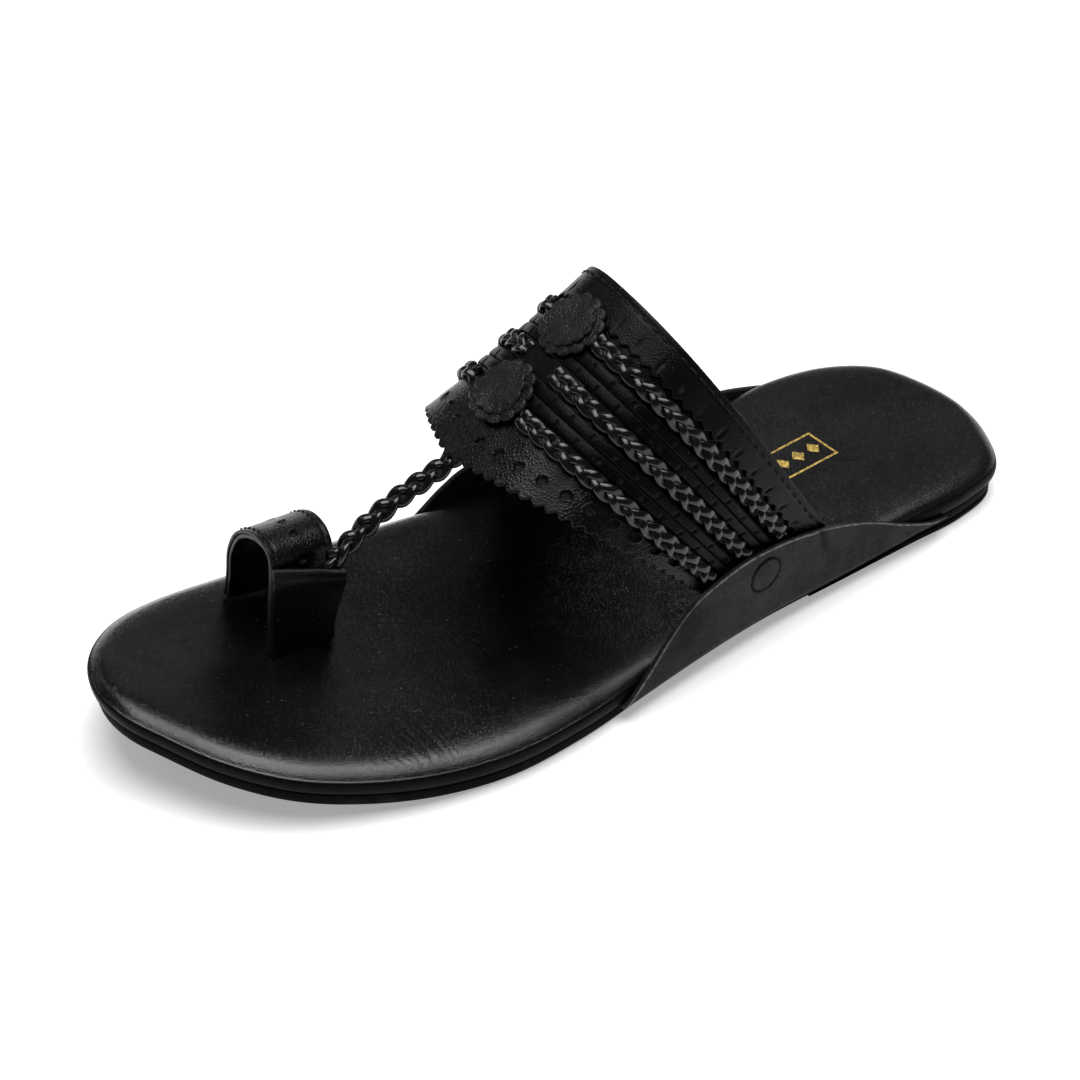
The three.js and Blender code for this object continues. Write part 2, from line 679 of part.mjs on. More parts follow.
// A rosette: two scalloped discs, one on the other, bent over the ridge. Its rings run out along the
// underside, up and in over the wide disc, and up and in over the narrow one.
function makeRosette(rosette) {
  const { lobes, outer, inner, tier, scallop, bend } = ROSETTE;
  const centre = bandOffset(rosette.share, rosette.across, 2 * GAP);
  const up = bandNormal(rosette.share, rosette.across);
  const forward = bandPoint(1, 0).sub(bandPoint(0, 0)).normalize();
  const sideways = up.clone().cross(forward).normalize();
  const rings = [
    { radius: 0, lift: 0 },
    { radius: outer, lift: 0 },
    { radius: outer, lift: tier },
    { radius: inner, lift: tier },
    { radius: inner, lift: 2 * tier },
    { radius: 0, lift: 2 * tier },
  ];
  const geometry = ringStack(rings.length, 4 * lobes, (ring, turn) => {
    const { radius, lift } = rings[ring];
    const reach = radius * (1 + scallop * Math.cos(lobes * turn));
    const across = reach * Math.cos(turn);
    return centre
      .clone()
      .addScaledVector(sideways, across)
      .addScaledVector(forward, reach * Math.sin(turn))
      .addScaledVector(up, lift - across ** 2 / (2 * bend));
  });
  return pieceMesh("rosette_" + rosette.name, solidOf(geometry), LEATHER);
}

// ---------------------------------------------------------------- the sandal

const sandal = new THREE.Group();
sandal.add(makeOutsole(), makeFootbed(), makeUpper(), makeToeTab());
for (const which of ["lateral", "medial"]) {
  sandal.add(makeEar(which), makeRivetCap(which));
  for (const braid of BRAIDS) sandal.add(makeBraid(which, braid));
}
for (const rosette of ROSETTES) sandal.add(makeRosette(rosette));
sandal.rotation.z = -Math.PI / 2;
sandal.position.set(-BOX_MIDDLE_SIDE, LENGTH / 2, 0);

export default sandal;
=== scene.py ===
"""Looks of a left Kolhapuri sandal, laid out as an add-on.

Every visible piece is a surface worked out with numpy in shoe coordinates, in millimetres: "along" from
the back of the heel to the toe tip, "side" positive towards the little toe, and "height" up from the
floor. to_frame() turns them into the model's own frame, in metres.
"""

import math
from functools import partial

import bmesh
import bpy
import numpy as np
from bpy.props import FloatProperty, FloatVectorProperty, IntProperty, PointerProperty
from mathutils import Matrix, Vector


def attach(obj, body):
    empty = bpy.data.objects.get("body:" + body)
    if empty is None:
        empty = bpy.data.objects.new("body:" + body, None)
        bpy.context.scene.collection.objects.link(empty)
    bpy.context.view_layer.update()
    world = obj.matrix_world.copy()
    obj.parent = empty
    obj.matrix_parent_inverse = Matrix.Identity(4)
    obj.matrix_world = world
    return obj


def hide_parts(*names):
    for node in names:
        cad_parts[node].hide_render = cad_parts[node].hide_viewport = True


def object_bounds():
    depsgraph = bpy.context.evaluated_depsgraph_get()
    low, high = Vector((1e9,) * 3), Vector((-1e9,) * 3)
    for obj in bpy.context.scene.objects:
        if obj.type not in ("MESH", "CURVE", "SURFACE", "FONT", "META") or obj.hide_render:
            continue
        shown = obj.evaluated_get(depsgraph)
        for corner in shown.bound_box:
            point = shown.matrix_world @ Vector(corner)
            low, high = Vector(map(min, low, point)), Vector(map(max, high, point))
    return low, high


bl_info = {
    "name": "Kolhapuri Sandal",
    "version": (1, 0, 0),
    "blender": (4, 5, 0),
    "location": "View3D > Sidebar > Sandal",
    "description": "Builds the leather pieces of a left sandal round its solid model",
    "category": "Add Mesh",
}

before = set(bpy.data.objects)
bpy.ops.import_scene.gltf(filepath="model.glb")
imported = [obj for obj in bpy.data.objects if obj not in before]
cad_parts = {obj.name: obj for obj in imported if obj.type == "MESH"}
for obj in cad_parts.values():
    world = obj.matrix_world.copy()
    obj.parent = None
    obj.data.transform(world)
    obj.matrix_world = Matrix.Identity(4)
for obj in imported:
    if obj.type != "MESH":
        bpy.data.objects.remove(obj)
CAD_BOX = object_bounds()
MM = 0.001
LENGTH = (CAD_BOX[1].y - CAD_BOX[0].y) / MM
MIDDLE_SIDE = 11.13  # shoe coordinate of the frame's X = 0


# -------- the sandal's own sizes, in mm


def table(names, *rows):
    """Rows of numbers as a dictionary of named columns."""
    return dict(zip(names.split(), np.array(rows, float).T))


GAP = 0.3
OUTSOLE = {"thickness": 3.6, "heel_lift": 2.0, "inset": 1.5, "breast_front": 95.0, "breast_rear": 35.0}
FOOTBED_THICKNESS = 8.0
ARCH = {"rear": 60.0, "front": 165.0, "rise": 1.8}
TOE_SPRING = {"start": 185.0, "rise": 15.8}
SOLE_OUTLINE = table(
    "along lateral medial",
    (2.5, 15.5, -13.5), (10, 29.6, -28.4), (25, 35.6, -37.1), (45, 38.1, -38.9), (70, 41.1, -35.0),
    (95, 44.8, -32.8), (120, 49.7, -33.4), (145, 55.0, -36.2), (170, 60.8, -38.9), (190, 63.4, -39.5),
    (210, 62.2, -38.9), (230, 57.5, -37.2), (248, 49.8, -33.3), (262, 38.2, -26.8), (272, 24.5, -17.5),
    (278, 14.5, -7.0),
)
HEEL_BACK_SIDE = 1.0
TOE_TIP_SIDE = 4.5
FOOTBED_EDGE = table(
    "inset height",
    (1.6, 0), (0.4, 1.4), (0, 3.4), (0.5, 5.4), (1.7, 7.0), (3.6, 7.8), (6.0, 8.0),
)
WIDEST = 3.4  # height of the footbed's widest ring

EAR_WALL = 1.7
EAR_HIGHLIGHT = 0.3  # height of the painted highlight line along an ear's outer edge
EAR_CLEARANCE = 0.55
EAR_FLARE = 0.045
LEAST_EAR = 0.8
EAR_TOP = {
    1: table(
        "along top",
        (34, 6.4), (40, 7.8), (52, 13), (66, 20.5), (80, 26), (92, 29), (104, 31), (114, 31.6),
        (124, 30.2), (132, 27.6), (141, 20.6), (149, 11.9), (156, 5.2),
    ),
    -1: table(
        "along top",
        (34, 6.4), (46, 9.8), (60, 14.2), (76, 18), (91, 20.6), (110, 20), (128, 19.6), (143, 19.8),
        (150, 18.6), (157, 14), (163, 8.8), (167, 5.2),
    ),
}
RIVET = {1: (106.6, 23.2), -1: (115.0, 14.2)}  # along and height
RIVET_RADIUS = 5.3
EAR_CREASE = {1: 84.0, -1: 78.0}  # along

WALL = 2.4
FRONT_LAYER = 1.5  # thickness of the panel that is bare ahead of the braids
LINING_TOP = -1.12  # these three are offsets from the band's outer face
UPPER_BOTTOM = -1.08
STRIP_TOP = 0.2
RIDGE_REAR = np.array([125.5, 1.5, 96.5])
RIDGE_FRONT = np.array([179.6, 4.6, 62.8])
FLANK = {  # the ribs' ends and bends on each side; edge is where the front edge meets the ear
    1: {
        "rear": 82.9, "front": 145.4, "height": 27.4, "outside": 0.6,
        "crown": 0.6, "flank": 0.79, "foot": -1.2, "edge": 0.736,
    },
    -1: {
        "rear": 89.0, "front": 160.0, "height": 18.6, "outside": -0.4,
        "crown": 0.68, "flank": 0.68, "foot": -1.4, "edge": 0.74,
    },
}
RIDGE_SHARE = 0.86  # share of a rib's run that lies above the ear line
BRAIDS = [
    {"name": "1", "ridge": 0.675, "ear": 0.635, 1: 0.105, -1: 0.185},
    {"name": "2", "ridge": 0.455, "ear": 0.428, 1: 0.082, -1: 0.05},
    {"name": "3", "ridge": 0.24, "ear": 0.216, 1: 0.108, -1: 0.185},
]
BRAID_BOTTOM = 0.845
BRAID_STRAND = {"swing": 1.52, "rise": 0.64, "half_width": 1.40, "half_height": 0.80}
HALF_BRAID = 3.3
SLIT = 0.4  # gap between two strips
ROSETTES = {"rear": (0.255, 0.02), "front": (0.645, 0.01)}  # share and across
ROSETTE_DISCS = [
    {"radius": 9.7, "low": 0.15, "high": 1.25, "turn_by": 0.0},
    {"radius": 7.4, "low": 1.3, "high": 2.3, "turn_by": 0.21},
]
HOLE_ROW = {"first": 6.5, "spare": 3, "back_at_ridge": 8.3, "back_at_foot": 5.3, "run": 70}
BAND_SEAM = {"share": 0.035, "behind": 2.0, "ends": 0.84, "gap": 1.0, "radius": 0.34}
SIDE_NAMES = {1: "lateral", -1: "medial"}

LOOP_ARCH = table(
    "side rise",
    (-25.6, 0), (-23.9, 8.5), (-23.2, 16.5), (-19, 24.6), (-12.5, 29.8), (-5.5, 32.6), (0.5, 32.4),
    (3.6, 29.6), (4.4, 24), (3.7, 12), (3.8, 0),
)
LOOP = {"rear": 212.5, "front": 231.5, "lean": 2.5, "turn": 3.2, "wall": 2.6}
LOOP_OUTER, LOOP_LINING = 1.25, 1.33  # depths of the outer layer's back and of the lining's face
LOOP_WIDTH = LOOP["front"] - LOOP["rear"]
LOOP_SEAM = 1.8  # distance of the stitches from the loop's edges
LOOP_STITCHES = {"first": 3.0, "spare": 5, "pitch": 3.0, "length": 2.1, "radius": 0.3}
LOOP_HOLES = {"first": 16.4, "pitch": 7.5, "count": 6}
TAB = {
    "wall": 1.6, "rear": 214.5, "front": 231.8, "rear_top": 42.4, "front_top": 44.2,
    "rear_lean": 2.2, "front_lean": 2.4, "stand_off": 7.4, "height": 30,
}
STRAP_PATH = np.array(  # along, side, height
    [
        (163, 3.6, 68.2), (170.5, 4.0, 63.4), (178, 4.6, 58.8), (186, 5.4, 56.4), (194, 6.3, 54.2),
        (202, 7.1, 50.8), (209, 7.9, 46.8), (214, 7.8, 42.6), (217.5, 6.4, 37.2), (219, 5.2, 31.4),
    ]
)
STRAP_STRAND = {"swing": 1.7, "rise": 0.95, "half_width": 1.6, "half_height": 1.15, "taper": 0.6}


# -------- curves


def lerp(a, b, t):
    """The straight mix of a and b: a plus t times their difference."""
    return a + (b - a) * t


def smoothstep(x, low, high):
    """0 below low, 1 above high, and between them the cubic that is level at both."""
    t = np.clip((x - low) / (high - low), 0, 1)
    return t * t * (3 - 2 * t)


def unit(v):
    """Vectors divided by their lengths."""
    return v / np.maximum(np.linalg.norm(v, axis=-1, keepdims=True), 1e-12)


def bump_shape(distance, width):
    """A bell curve: 1 at no distance, falling off over about one width."""
    return np.exp(-((distance / width) ** 2))


def column(rows, name, key="along"):
    """A smooth curve through one column of a table: each stretch is a cubic whose end slopes are those
    of the chords between the rows on both sides."""
    x, y = rows[key], rows[name]
    slopes = np.gradient(y, x)
    slopes[1:-1] = (y[2:] - y[:-2]) / (x[2:] - x[:-2])

    def value(at):
        inside = np.clip(at, x[0], x[-1])
        i = np.clip(np.searchsorted(x, inside, "right") - 1, 0, len(x) - 2)
        run, rise = x[i + 1] - x[i], y[i + 1] - y[i]
        t = (inside - x[i]) / run
        bend = (1 - t) * (slopes[i] * run - rise) - t * (slopes[i + 1] * run - rise)
        return y[i] + rise * t + t * (1 - t) * bend

    return value


def smooth_curve(points, closed=False, per_span=48):
    """Centripetal Catmull-Rom curve: each span is a cubic whose end slopes are weighted by the square
    roots of the distances between four points in a row."""
    p = np.asarray(points, float)
    if closed:
        p = np.vstack([p[-1:], p, p[:2]])
    else:
        p = np.vstack([2 * p[:1] - p[1:2], p, 2 * p[-1:] - p[-2:-1]])
    a, b, c, d = p[:-3], p[1:-2], p[2:-1], p[3:]
    ab, bc, cd = (np.sqrt(np.linalg.norm(v, axis=1))[:, None] for v in (b - a, c - b, d - c))
    leave = ((b - a) / ab - (c - a) / (ab + bc) + (c - b) / bc) * bc
    arrive = ((c - b) / bc - (d - b) / (bc + cd) + (d - c) / cd) * bc
    b, end, leave, arrive = (v[:, None, :] for v in (b, c, leave, arrive))
    t = np.linspace(0, 1, per_span, endpoint=False)[None, :, None]
    square = (3 * (end - b) - 2 * leave - arrive) * t**2
    cube = (2 * (b - end) + leave + arrive) * t**3
    return np.vstack([(b + leave * t + square + cube).reshape(-1, p.shape[1]), c[-1]])


def lengths_along(curve):
    """How far along a sampled curve each of its points lies."""
    return np.r_[0, np.cumsum(np.linalg.norm(np.diff(curve, axis=0), axis=1))]


def at_share(curve, share):
    """Points of a sampled curve at shares of its length."""
    steps = lengths_along(curve)
    x = np.asarray(share) * steps[-1]
    return np.stack([np.interp(x, steps, curve[:, k]) for k in range(curve.shape[1])], -1)


def to_frame(p):
    """Shoe coordinates in mm as the frame's metres: X is side, Y runs from toe to heel, Z is height."""
    return np.stack([p[..., 1] - MIDDLE_SIDE, LENGTH / 2 - p[..., 0], p[..., 2]], -1) * MM


# -------- the sole's surfaces


def sole_loop():
    """The sole's outline as one closed curve: from the back of the heel up the lateral side to the toe
    tip, and back down the medial side."""
    along, lateral, medial = SOLE_OUTLINE.values()
    heel, toe = [(0, HEEL_BACK_SIDE)], [(LENGTH, TOE_TIP_SIDE)]
    up, down = np.stack([along, lateral], 1), np.stack([along, medial], 1)[::-1]
    return smooth_curve(np.vstack([heel, up, toe, down]), closed=True)


SOLE_LOOP = sole_loop()


def rising_halves():
    """The outline's lateral (1) and medial (-1) half from heel to toe, without what doubles back."""
    toe = int(np.argmax(SOLE_LOOP[:, 0]))
    halves = {}
    for sign, half in ((1, SOLE_LOOP[: toe + 1]), (-1, SOLE_LOOP[toe:][::-1])):
        rising = np.r_[True, half[1:, 0] > np.maximum.accumulate(half[:, 0])[:-1]]
        halves[sign] = half[rising]
    return halves


HALVES = rising_halves()


def outline_halves(stations):
    """The outline's lateral and medial half at even shares of their lengths: points and outward normals
    in plan, both from the back of the heel to the toe tip."""
    curve = SOLE_LOOP[:-1]
    tangent = np.roll(curve, -3, 0) - np.roll(curve, 3, 0)
    both = np.hstack([curve, unit(np.stack([-tangent[:, 1], tangent[:, 0]], 1))])
    toe = int(np.argmin(np.hypot(curve[:, 0] - LENGTH, curve[:, 1] - TOE_TIP_SIDE)))
    halves = []
    for half in (both[: toe + 1], np.vstack([both[toe:], both[:1]])[::-1]):
        steps = lengths_along(half[:, :2])
        at = np.linspace(0, steps[-1], stations)
        halves.append(np.stack([np.interp(at, steps, half[:, k]) for k in range(4)], 1))
    return halves


def edge_side(along, sign):
    """How far to the side the sole's edge lies, straight between the outline's points."""
    return np.interp(along, HALVES[sign][:, 0], HALVES[sign][:, 1])


def edge_outward(along, sign, step=2.0):
    """Unit vector in plan that points away from the sole, square to its edge."""
    slope = (edge_side(along + step, sign) - edge_side(along - step, sign)) / (2 * step)
    return unit(np.stack([-slope, np.ones_like(slope), np.zeros_like(slope)], -1) * sign)


def ground(along):
    """The outsole's underside: flat, but for the arch, a squared sine, and the toe spring, a parabola."""
    arch = np.clip((along - ARCH["rear"]) / (ARCH["front"] - ARCH["rear"]), 0, 1)
    toe = np.clip((along - TOE_SPRING["start"]) / (LENGTH - TOE_SPRING["start"]), 0, None)
    return ARCH["rise"] * np.sin(np.pi * arch) ** 2 + TOE_SPRING["rise"] * toe**2


def outsole_top(along):
    """The underside plus the outsole's thickness, plus the heel lift, which fades out under the arch."""
    lift = 1 - smoothstep(along, OUTSOLE["breast_rear"], OUTSOLE["breast_front"])
    return ground(along) + OUTSOLE["thickness"] + OUTSOLE["heel_lift"] * lift


def footbed_underside(along):
    """A thin gap above the outsole."""
    return outsole_top(along) + GAP


def footbed_top(along):
    """The footbed's underside plus its thickness."""
    return footbed_underside(along) + FOOTBED_THICKNESS


# -------- the band's surface


def rib_point(sign, share, run):
    """A point on the band's outer face. share runs from the rear edge (0) to the front of the fan (1),
    and run from the ridge (0) to the foot (1). Above the ear line the rib is a cubic Bezier that leaves
    the ridge level, and below it goes on straight to the footbed."""
    flank = FLANK[sign]
    top = RIDGE_REAR + (RIDGE_FRONT - RIDGE_REAR) * share[..., None]
    along = lerp(flank["rear"], flank["front"], share)
    side = edge_side(along, sign) + sign * flank["outside"]
    ear = np.stack([along, side, np.full_like(along, flank["height"])], -1)
    crown, shoulder = top.copy(), ear.copy()
    crown[..., 1] += flank["crown"] * (ear[..., 1] - top[..., 1])
    shoulder[..., 0] += flank["flank"] * (top[..., 0] - ear[..., 0])
    shoulder[..., 2] += flank["flank"] * (top[..., 2] - ear[..., 2])
    t = np.clip(run / RIDGE_SHARE, 0, 1)[..., None]
    above = (1 - t) ** 3 * top + 3 * t * (1 - t) ** 2 * crown + 3 * t**2 * (1 - t) * shoulder + t**3 * ear
    drop = unit(ear - shoulder)
    foot_along = along + drop[..., 0] / drop[..., 2] * (footbed_top(along) - flank["height"])
    foot_side = edge_side(foot_along, sign) + sign * flank["foot"]
    foot = np.stack([foot_along, foot_side, footbed_top(foot_along) + 2 * GAP], -1)
    below = np.clip((run - RIDGE_SHARE) / (1 - RIDGE_SHARE), 0, None)[..., None]
    return above + (foot - ear) * below


def band_point(share, across):
    """The same with one number across the whole band: -1 medial foot, 0 ridge, 1 lateral foot."""
    share, across = np.broadcast_arrays(np.asarray(share, float), np.asarray(across, float))
    run = np.abs(across)
    return np.where((across < 0)[..., None], rib_point(-1, share, run), rib_point(1, share, run))


def band_normal(share, across, step=0.004):
    """The band's outward normal, the cross product of its two directions."""
    a = np.clip(across, step - 1, 1 - step)
    around = band_point(share, a + step) - band_point(share, a - step)
    forward = band_point(share + step, a) - band_point(share - step, a)
    return unit(np.cross(forward, around))


def on_band(across, share, offset):
    """A point at an offset, in mm, above the band's outer face."""
    across, share, offset = np.broadcast_arrays(*(np.asarray(v, float) for v in (across, share, offset)))
    return band_point(share, across) + band_normal(share, across) * offset[..., None]


def band_share_per_mm(across, share=0.5, step=0.01):
    """How much of the fan's share one millimetre across the ribs takes up."""
    apart = band_point(share + step, across) - band_point(share - step, across)
    return 2 * step / np.linalg.norm(apart, axis=-1)


def front_share(across):
    """The front edge: it draws back from the tip at the ridge to each ear."""
    edge = np.where(np.asarray(across) < 0, FLANK[-1]["edge"], FLANK[1]["edge"])
    return lerp(1.0, edge, np.minimum(1, np.abs(across) / RIDGE_SHARE))


def braid_share(braid, across):
    """The middle of a braid across the fan, which runs straight from the ridge to the ear."""
    return lerp(braid["ridge"], braid["ear"], np.minimum(1, np.abs(across) / RIDGE_SHARE))


def arc_across(share_of, samples=900):
    """For a line along the whole band: matching arrays of across and of length from the ridge, in mm."""
    across = np.linspace(-1.0, 1.0, samples)
    steps = lengths_along(band_point(share_of(across), across))
    return across, steps - np.interp(0, across, steps)


# -------- meshes


def outward(points, quads):
    """The same quads, turned over if they enclose a negative volume."""
    a, b, c, d = (points[quads[:, k]] for k in range(4))
    volume = np.einsum("ij,ij->", a, np.cross(b, c)) + np.einsum("ij,ij->", a, np.cross(c, d))
    return quads[:, ::-1] if volume < 0 else quads


def ring_shell(points, capped=(True, True), **attributes):
    """A closed shell from rings in a row, points[station, place round the ring]. A capped end is closed
    by quads that fold the ring in half, from one side to the other."""
    stations, around = points.shape[:2]
    i = np.arange(stations - 1)[:, None] * around
    j = np.arange(around)
    next_j = (j + 1) % around
    quads = np.stack([i + j, i + next_j, i + around + next_j, i + around + j], -1).reshape(-1, 4)
    half = np.arange(around // 2 - 1)
    fold = np.stack([half, half + 1, around - 2 - half, around - 1 - half], -1)
    if capped[0]:
        quads = np.vstack([quads, fold[:, ::-1]])
    if capped[1]:
        quads = np.vstack([quads, fold + (stations - 1) * around])
    flat = points.reshape(-1, 3)
    values = {name: np.broadcast_to(v, (stations, around)).reshape(-1) for name, v in attributes.items()}
    return {"points": flat, "quads": outward(flat, quads), "values": values}


WELD_DISTANCE = 1e-7  # metres
FULL_PIT_SHADE = 0.6  # depth in mm from which the painted shade in a pressed-in place is quite dark


def add_piece(name, shells, finish, stands_for=(), sharp=38.0, weld=False):
    """One mesh object from closed shells in shoe coordinates, in the finish of that name. It rides on
    the sandal's one body, and edges that turn by more than sharp degrees stay crisp."""
    points = np.vstack([to_frame(s["points"]) for s in shells])
    starts = np.cumsum([0] + [len(s["points"]) for s in shells[:-1]])
    # to_frame() is a turn and not a mirror, so faces that point out in shoe coordinates still do here.
    quads = np.vstack([s["quads"] + start for s, start in zip(shells, starts)])
    mesh = bpy.data.meshes.new(name)
    mesh.from_pydata(points.tolist(), [], quads.tolist())
    for key in shells[0]["values"]:
        attribute = mesh.attributes.new(key, "FLOAT", "POINT")
        values = np.concatenate([s["values"][key] for s in shells])
        attribute.data.foreach_set("value", values.astype(np.float32))
    if weld:
        work = bmesh.new()
        work.from_mesh(mesh)
        bmesh.ops.remove_doubles(work, verts=work.verts, dist=WELD_DISTANCE)
        work.to_mesh(mesh)
        work.free()
    mesh.validate()
    mesh.polygons.foreach_set("use_smooth", np.ones(len(mesh.polygons), bool))
    mesh.set_sharp_from_angle(angle=math.radians(sharp))
    mesh.materials.append(finish_of(finish))
    piece = bpy.data.objects.new(name, mesh)
    bpy.context.scene.collection.objects.link(piece)
    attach(piece, "root")
    if stands_for:
        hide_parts(*stands_for)
    return piece


def plate_profile(low, high, edge, rows, side_rows=3):
    """The cross-section of a flat plate with rounded edges, as three arrays: a place in mm, a share of
    the plate's width to add to it, and an offset. It starts in the middle of the rear edge, goes up
    and over the upper face, down the front edge and back along the lower face. The corners are
    quarter circles."""
    turn = np.linspace(0, math.pi / 2, side_rows)
    far, near = edge * (1 - np.cos(turn)), edge * (1 - np.sin(turn))
    middle = np.linspace(0, 1, rows + 2)[1:-1]
    none, whole = np.zeros(side_rows), np.ones(side_rows)
    parts = [
        (far, none, high - near),
        (edge * (1 - 2 * middle), middle, np.full(rows, high)),
        (-near, whole, high - far),
        (-far, whole, low + near),
        (edge * (2 * middle - 1), 1 - middle, np.full(rows, low)),
        (near, none, low + far),
    ]
    return tuple(np.concatenate(values) for values in zip(*parts))


def plate(
    place, run, rear, front, per_mm, low, high, edge=0.35, rows=8, relief=None, side_rows=3, highlight=-math.inf
):
    """A sheet of leather: place(run, width, offset) gives its points. At each run its width goes from
    rear to front, of which per_mm is one millimetre. relief(run, width) adds to the upper face's
    offset, and what it takes away is marked as painted shade, which darkens the colour the deeper it
    is pressed in. The cut edges are marked too, from a given offset up; on the ears the mark starts
    near the outer face and is a painted highlight."""
    a, b, offset = plate_profile(low, high, min(edge, (high - low) / 2), rows, side_rows)
    rear, front, per_mm = (np.broadcast_to(v, np.shape(run))[:, None] for v in (rear, front, per_mm))
    width = rear + a * per_mm + b * (front - rear)
    run = np.broadcast_to(np.asarray(run)[:, None], width.shape)
    upper = np.broadcast_to(smoothstep(offset, (low + high) / 2, high), width.shape)
    extra = relief(run, width) * upper if relief else np.zeros(width.shape)
    # cut edge mark; on the ears it starts near the outer face and is a painted highlight
    cut = ((b == 0) | (b == 1)) & (np.abs(a) < 0.9 * edge) & (offset >= highlight)
    points = place(run, width, offset + extra)
    # what the relief presses in becomes painted shade in the colour
    return ring_shell(points, cut=cut.astype(float), pit=np.clip(-extra / FULL_PIT_SHADE, 0, 1))


def tube(path, across, up, half_width, half_height, around=12, power=1.0, **attributes):
    """A rounded bar along a path: a ring of width times cosine along across and height times sine
    along up, with its ends drawn in to small caps."""
    turn = np.linspace(0, 2 * math.pi, around, endpoint=False)
    c, s = np.cos(turn), np.sin(turn)
    c, s = np.sign(c) * np.abs(c) ** power, np.sign(s) * np.abs(s) ** power
    w = np.broadcast_to(half_width, len(path))[:, None, None]
    h = np.broadcast_to(half_height, len(path))[:, None, None]
    points = path[:, None] + across[:, None] * c[None, :, None] * w + up[:, None] * s[None, :, None] * h
    return ring_shell(points, **attributes)


def bead_row(point, starts, length, radius, around=6):
    """Stitches: short capsules along a line. point(distance, offset) gives the line's points, and each
    stitch rises from the leather and goes back into it, its height a half sine."""
    share = np.linspace(0, 1, 6)
    fat = np.sqrt(np.clip(1 - (2 * share - 1) ** 2, 0.06, 1))
    shells = []
    for start in starts:
        d = start + share * length
        path = point(d, radius * (1.1 * np.sin(np.pi * share) - 0.75))
        up = unit(point(d, np.full_like(d, 1.0)) - point(d, np.zeros_like(d)))
        across = unit(np.cross(np.gradient(path, axis=0), up))
        shells.append(tube(path, across, up, radius * fat, radius * fat, around))
    return shells


def plait(point, length, pitch, swing, rise, half_width, half_height, taper=0.0):
    """A plait of three strands. point(distance, sideways, up) gives points round its middle line.
    Strand k swings sideways by the sine of a phase and rises by the sine of twice that phase, and the
    phases are a third of a turn apart. It sinks a little at both ends, and may taper towards its last."""
    d = np.linspace(0, length, int(3 * length))
    ends = 1.5 * (1 - smoothstep(d, -0.6, 1.6) * (1 - smoothstep(d, length - 2.4, length)))
    slim = 1 - taper * smoothstep(d, length - 14, length)
    shells = []
    for k in range(3):
        phase = 2 * math.pi * (d / pitch + k / 3)
        sideways, up = slim * swing * np.sin(phase), slim * rise * np.sin(2 * phase) - ends
        path = point(d, sideways, up)
        normal = unit(point(d, sideways, up + 0.5) - path)
        across = unit(np.cross(np.gradient(path, axis=0), normal))
        # a strand seen from above is a leaf: full in the middle of each swing, slimmer where it crosses
        swell = slim * (1 - 0.16 * np.cos(phase) ** 2)
        # deep marks where a strand dives under the next; the braid leather paints shade there
        depth = np.clip(0.5 + 0.5 * np.sin(2 * phase), 0, 1)
        wide, high = half_width * swell, half_height * slim
        shells.append(tube(path, across, normal, wide, high, power=0.8, deep=1 - depth[:, None]))
    return shells


# -------- materials


class Nodes:
    """A short way to build a material's node tree."""

    def __init__(self, name):
        self.material = bpy.data.materials.new(name)
        self.material.use_nodes = True
        self.tree = self.material.node_tree
        self.tree.nodes.clear()
        self.shader = self.add("BsdfPrincipled")
        self.link(self.shader.outputs[0], self.add("OutputMaterial").inputs["Surface"])
        self.place = self.add("TexCoord").outputs["Object"]

    def add(self, kind, **settings):
        node = self.tree.nodes.new("ShaderNode" + kind)
        for key, value in settings.items():
            setattr(node, key, value)
        return node

    def link(self, output, socket):
        self.tree.links.new(output, socket)

    def put(self, node, sockets):
        """Links what comes from another node, and sets a plain number or colour on the socket itself."""
        for name, value in sockets.items():
            if isinstance(value, bpy.types.NodeSocket):
                self.link(value, node.inputs[name])
            else:
                node.inputs[name].default_value = value

    def finish(self, **sockets):
        """Fills the shader's sockets, with underscores for the spaces in their names."""
        self.put(self.shader, {key.replace("_", " "): value for key, value in sockets.items()})
        return self.material

    def noise(self, size_mm, detail=3.0, rough=0.55):
        node = self.add("TexNoise")
        scale = 1 / (size_mm * MM)
        self.put(node, {"Vector": self.place, "Scale": scale, "Detail": detail, "Roughness": rough})
        return node.outputs["Fac"]

    def cells(self, size_mm, feature="DISTANCE_TO_EDGE"):
        node = self.add("TexVoronoi", feature=feature)
        self.put(node, {"Vector": self.place, "Scale": 1 / (size_mm * MM)})
        return node.outputs["Distance"]

    def ramp(self, value, low, high, to_low=0.0, to_high=1.0, smooth=True):
        node = self.add("MapRange", interpolation_type="SMOOTHSTEP" if smooth else "LINEAR")
        ends = {"From Min": low, "From Max": high, "To Min": to_low, "To Max": to_high}
        self.put(node, {"Value": value, **ends})
        return node.outputs["Result"]

    def combine(self, operation, a, b):
        node = self.add("Math", operation=operation)
        self.put(node, {0: a, 1: b})
        return node.outputs[0]

    def plus(self, a, b):
        return self.combine("ADD", a, b)

    def times(self, a, b):
        return self.combine("MULTIPLY", a, b)

    def blend(self, share, a, b):
        node = self.add("Mix", data_type="RGBA")
        self.put(node, {"Factor": share, "A": a, "B": b})
        return node.outputs["Result"]

    def attribute(self, name):
        return self.add("Attribute", attribute_name=name).outputs["Fac"]

    def bump(self, height, depth_mm, below=None):
        node = self.add("Bump")
        self.put(node, {"Distance": depth_mm * MM, "Height": height})
        if below is not None:
            self.link(below, node.inputs["Normal"])
        return node.outputs["Normal"]


def shade(tint, times=1.0, plus=0.0):
    """A colour made lighter or darker, with its alpha."""
    return (*(times * c + plus for c in tint), 1.0)


DUST = shade((0.55, 0.53, 0.5))
# painted shade for pressed-in places: holes, folds, grooves and cuts
PIT_SHADE_BLACK = shade((0.001, 0.001, 0.001))
SCUFF_GREY = shade((0.03, 0.029, 0.028))
THREAD_TINT = (0.006, 0.006, 0.006)


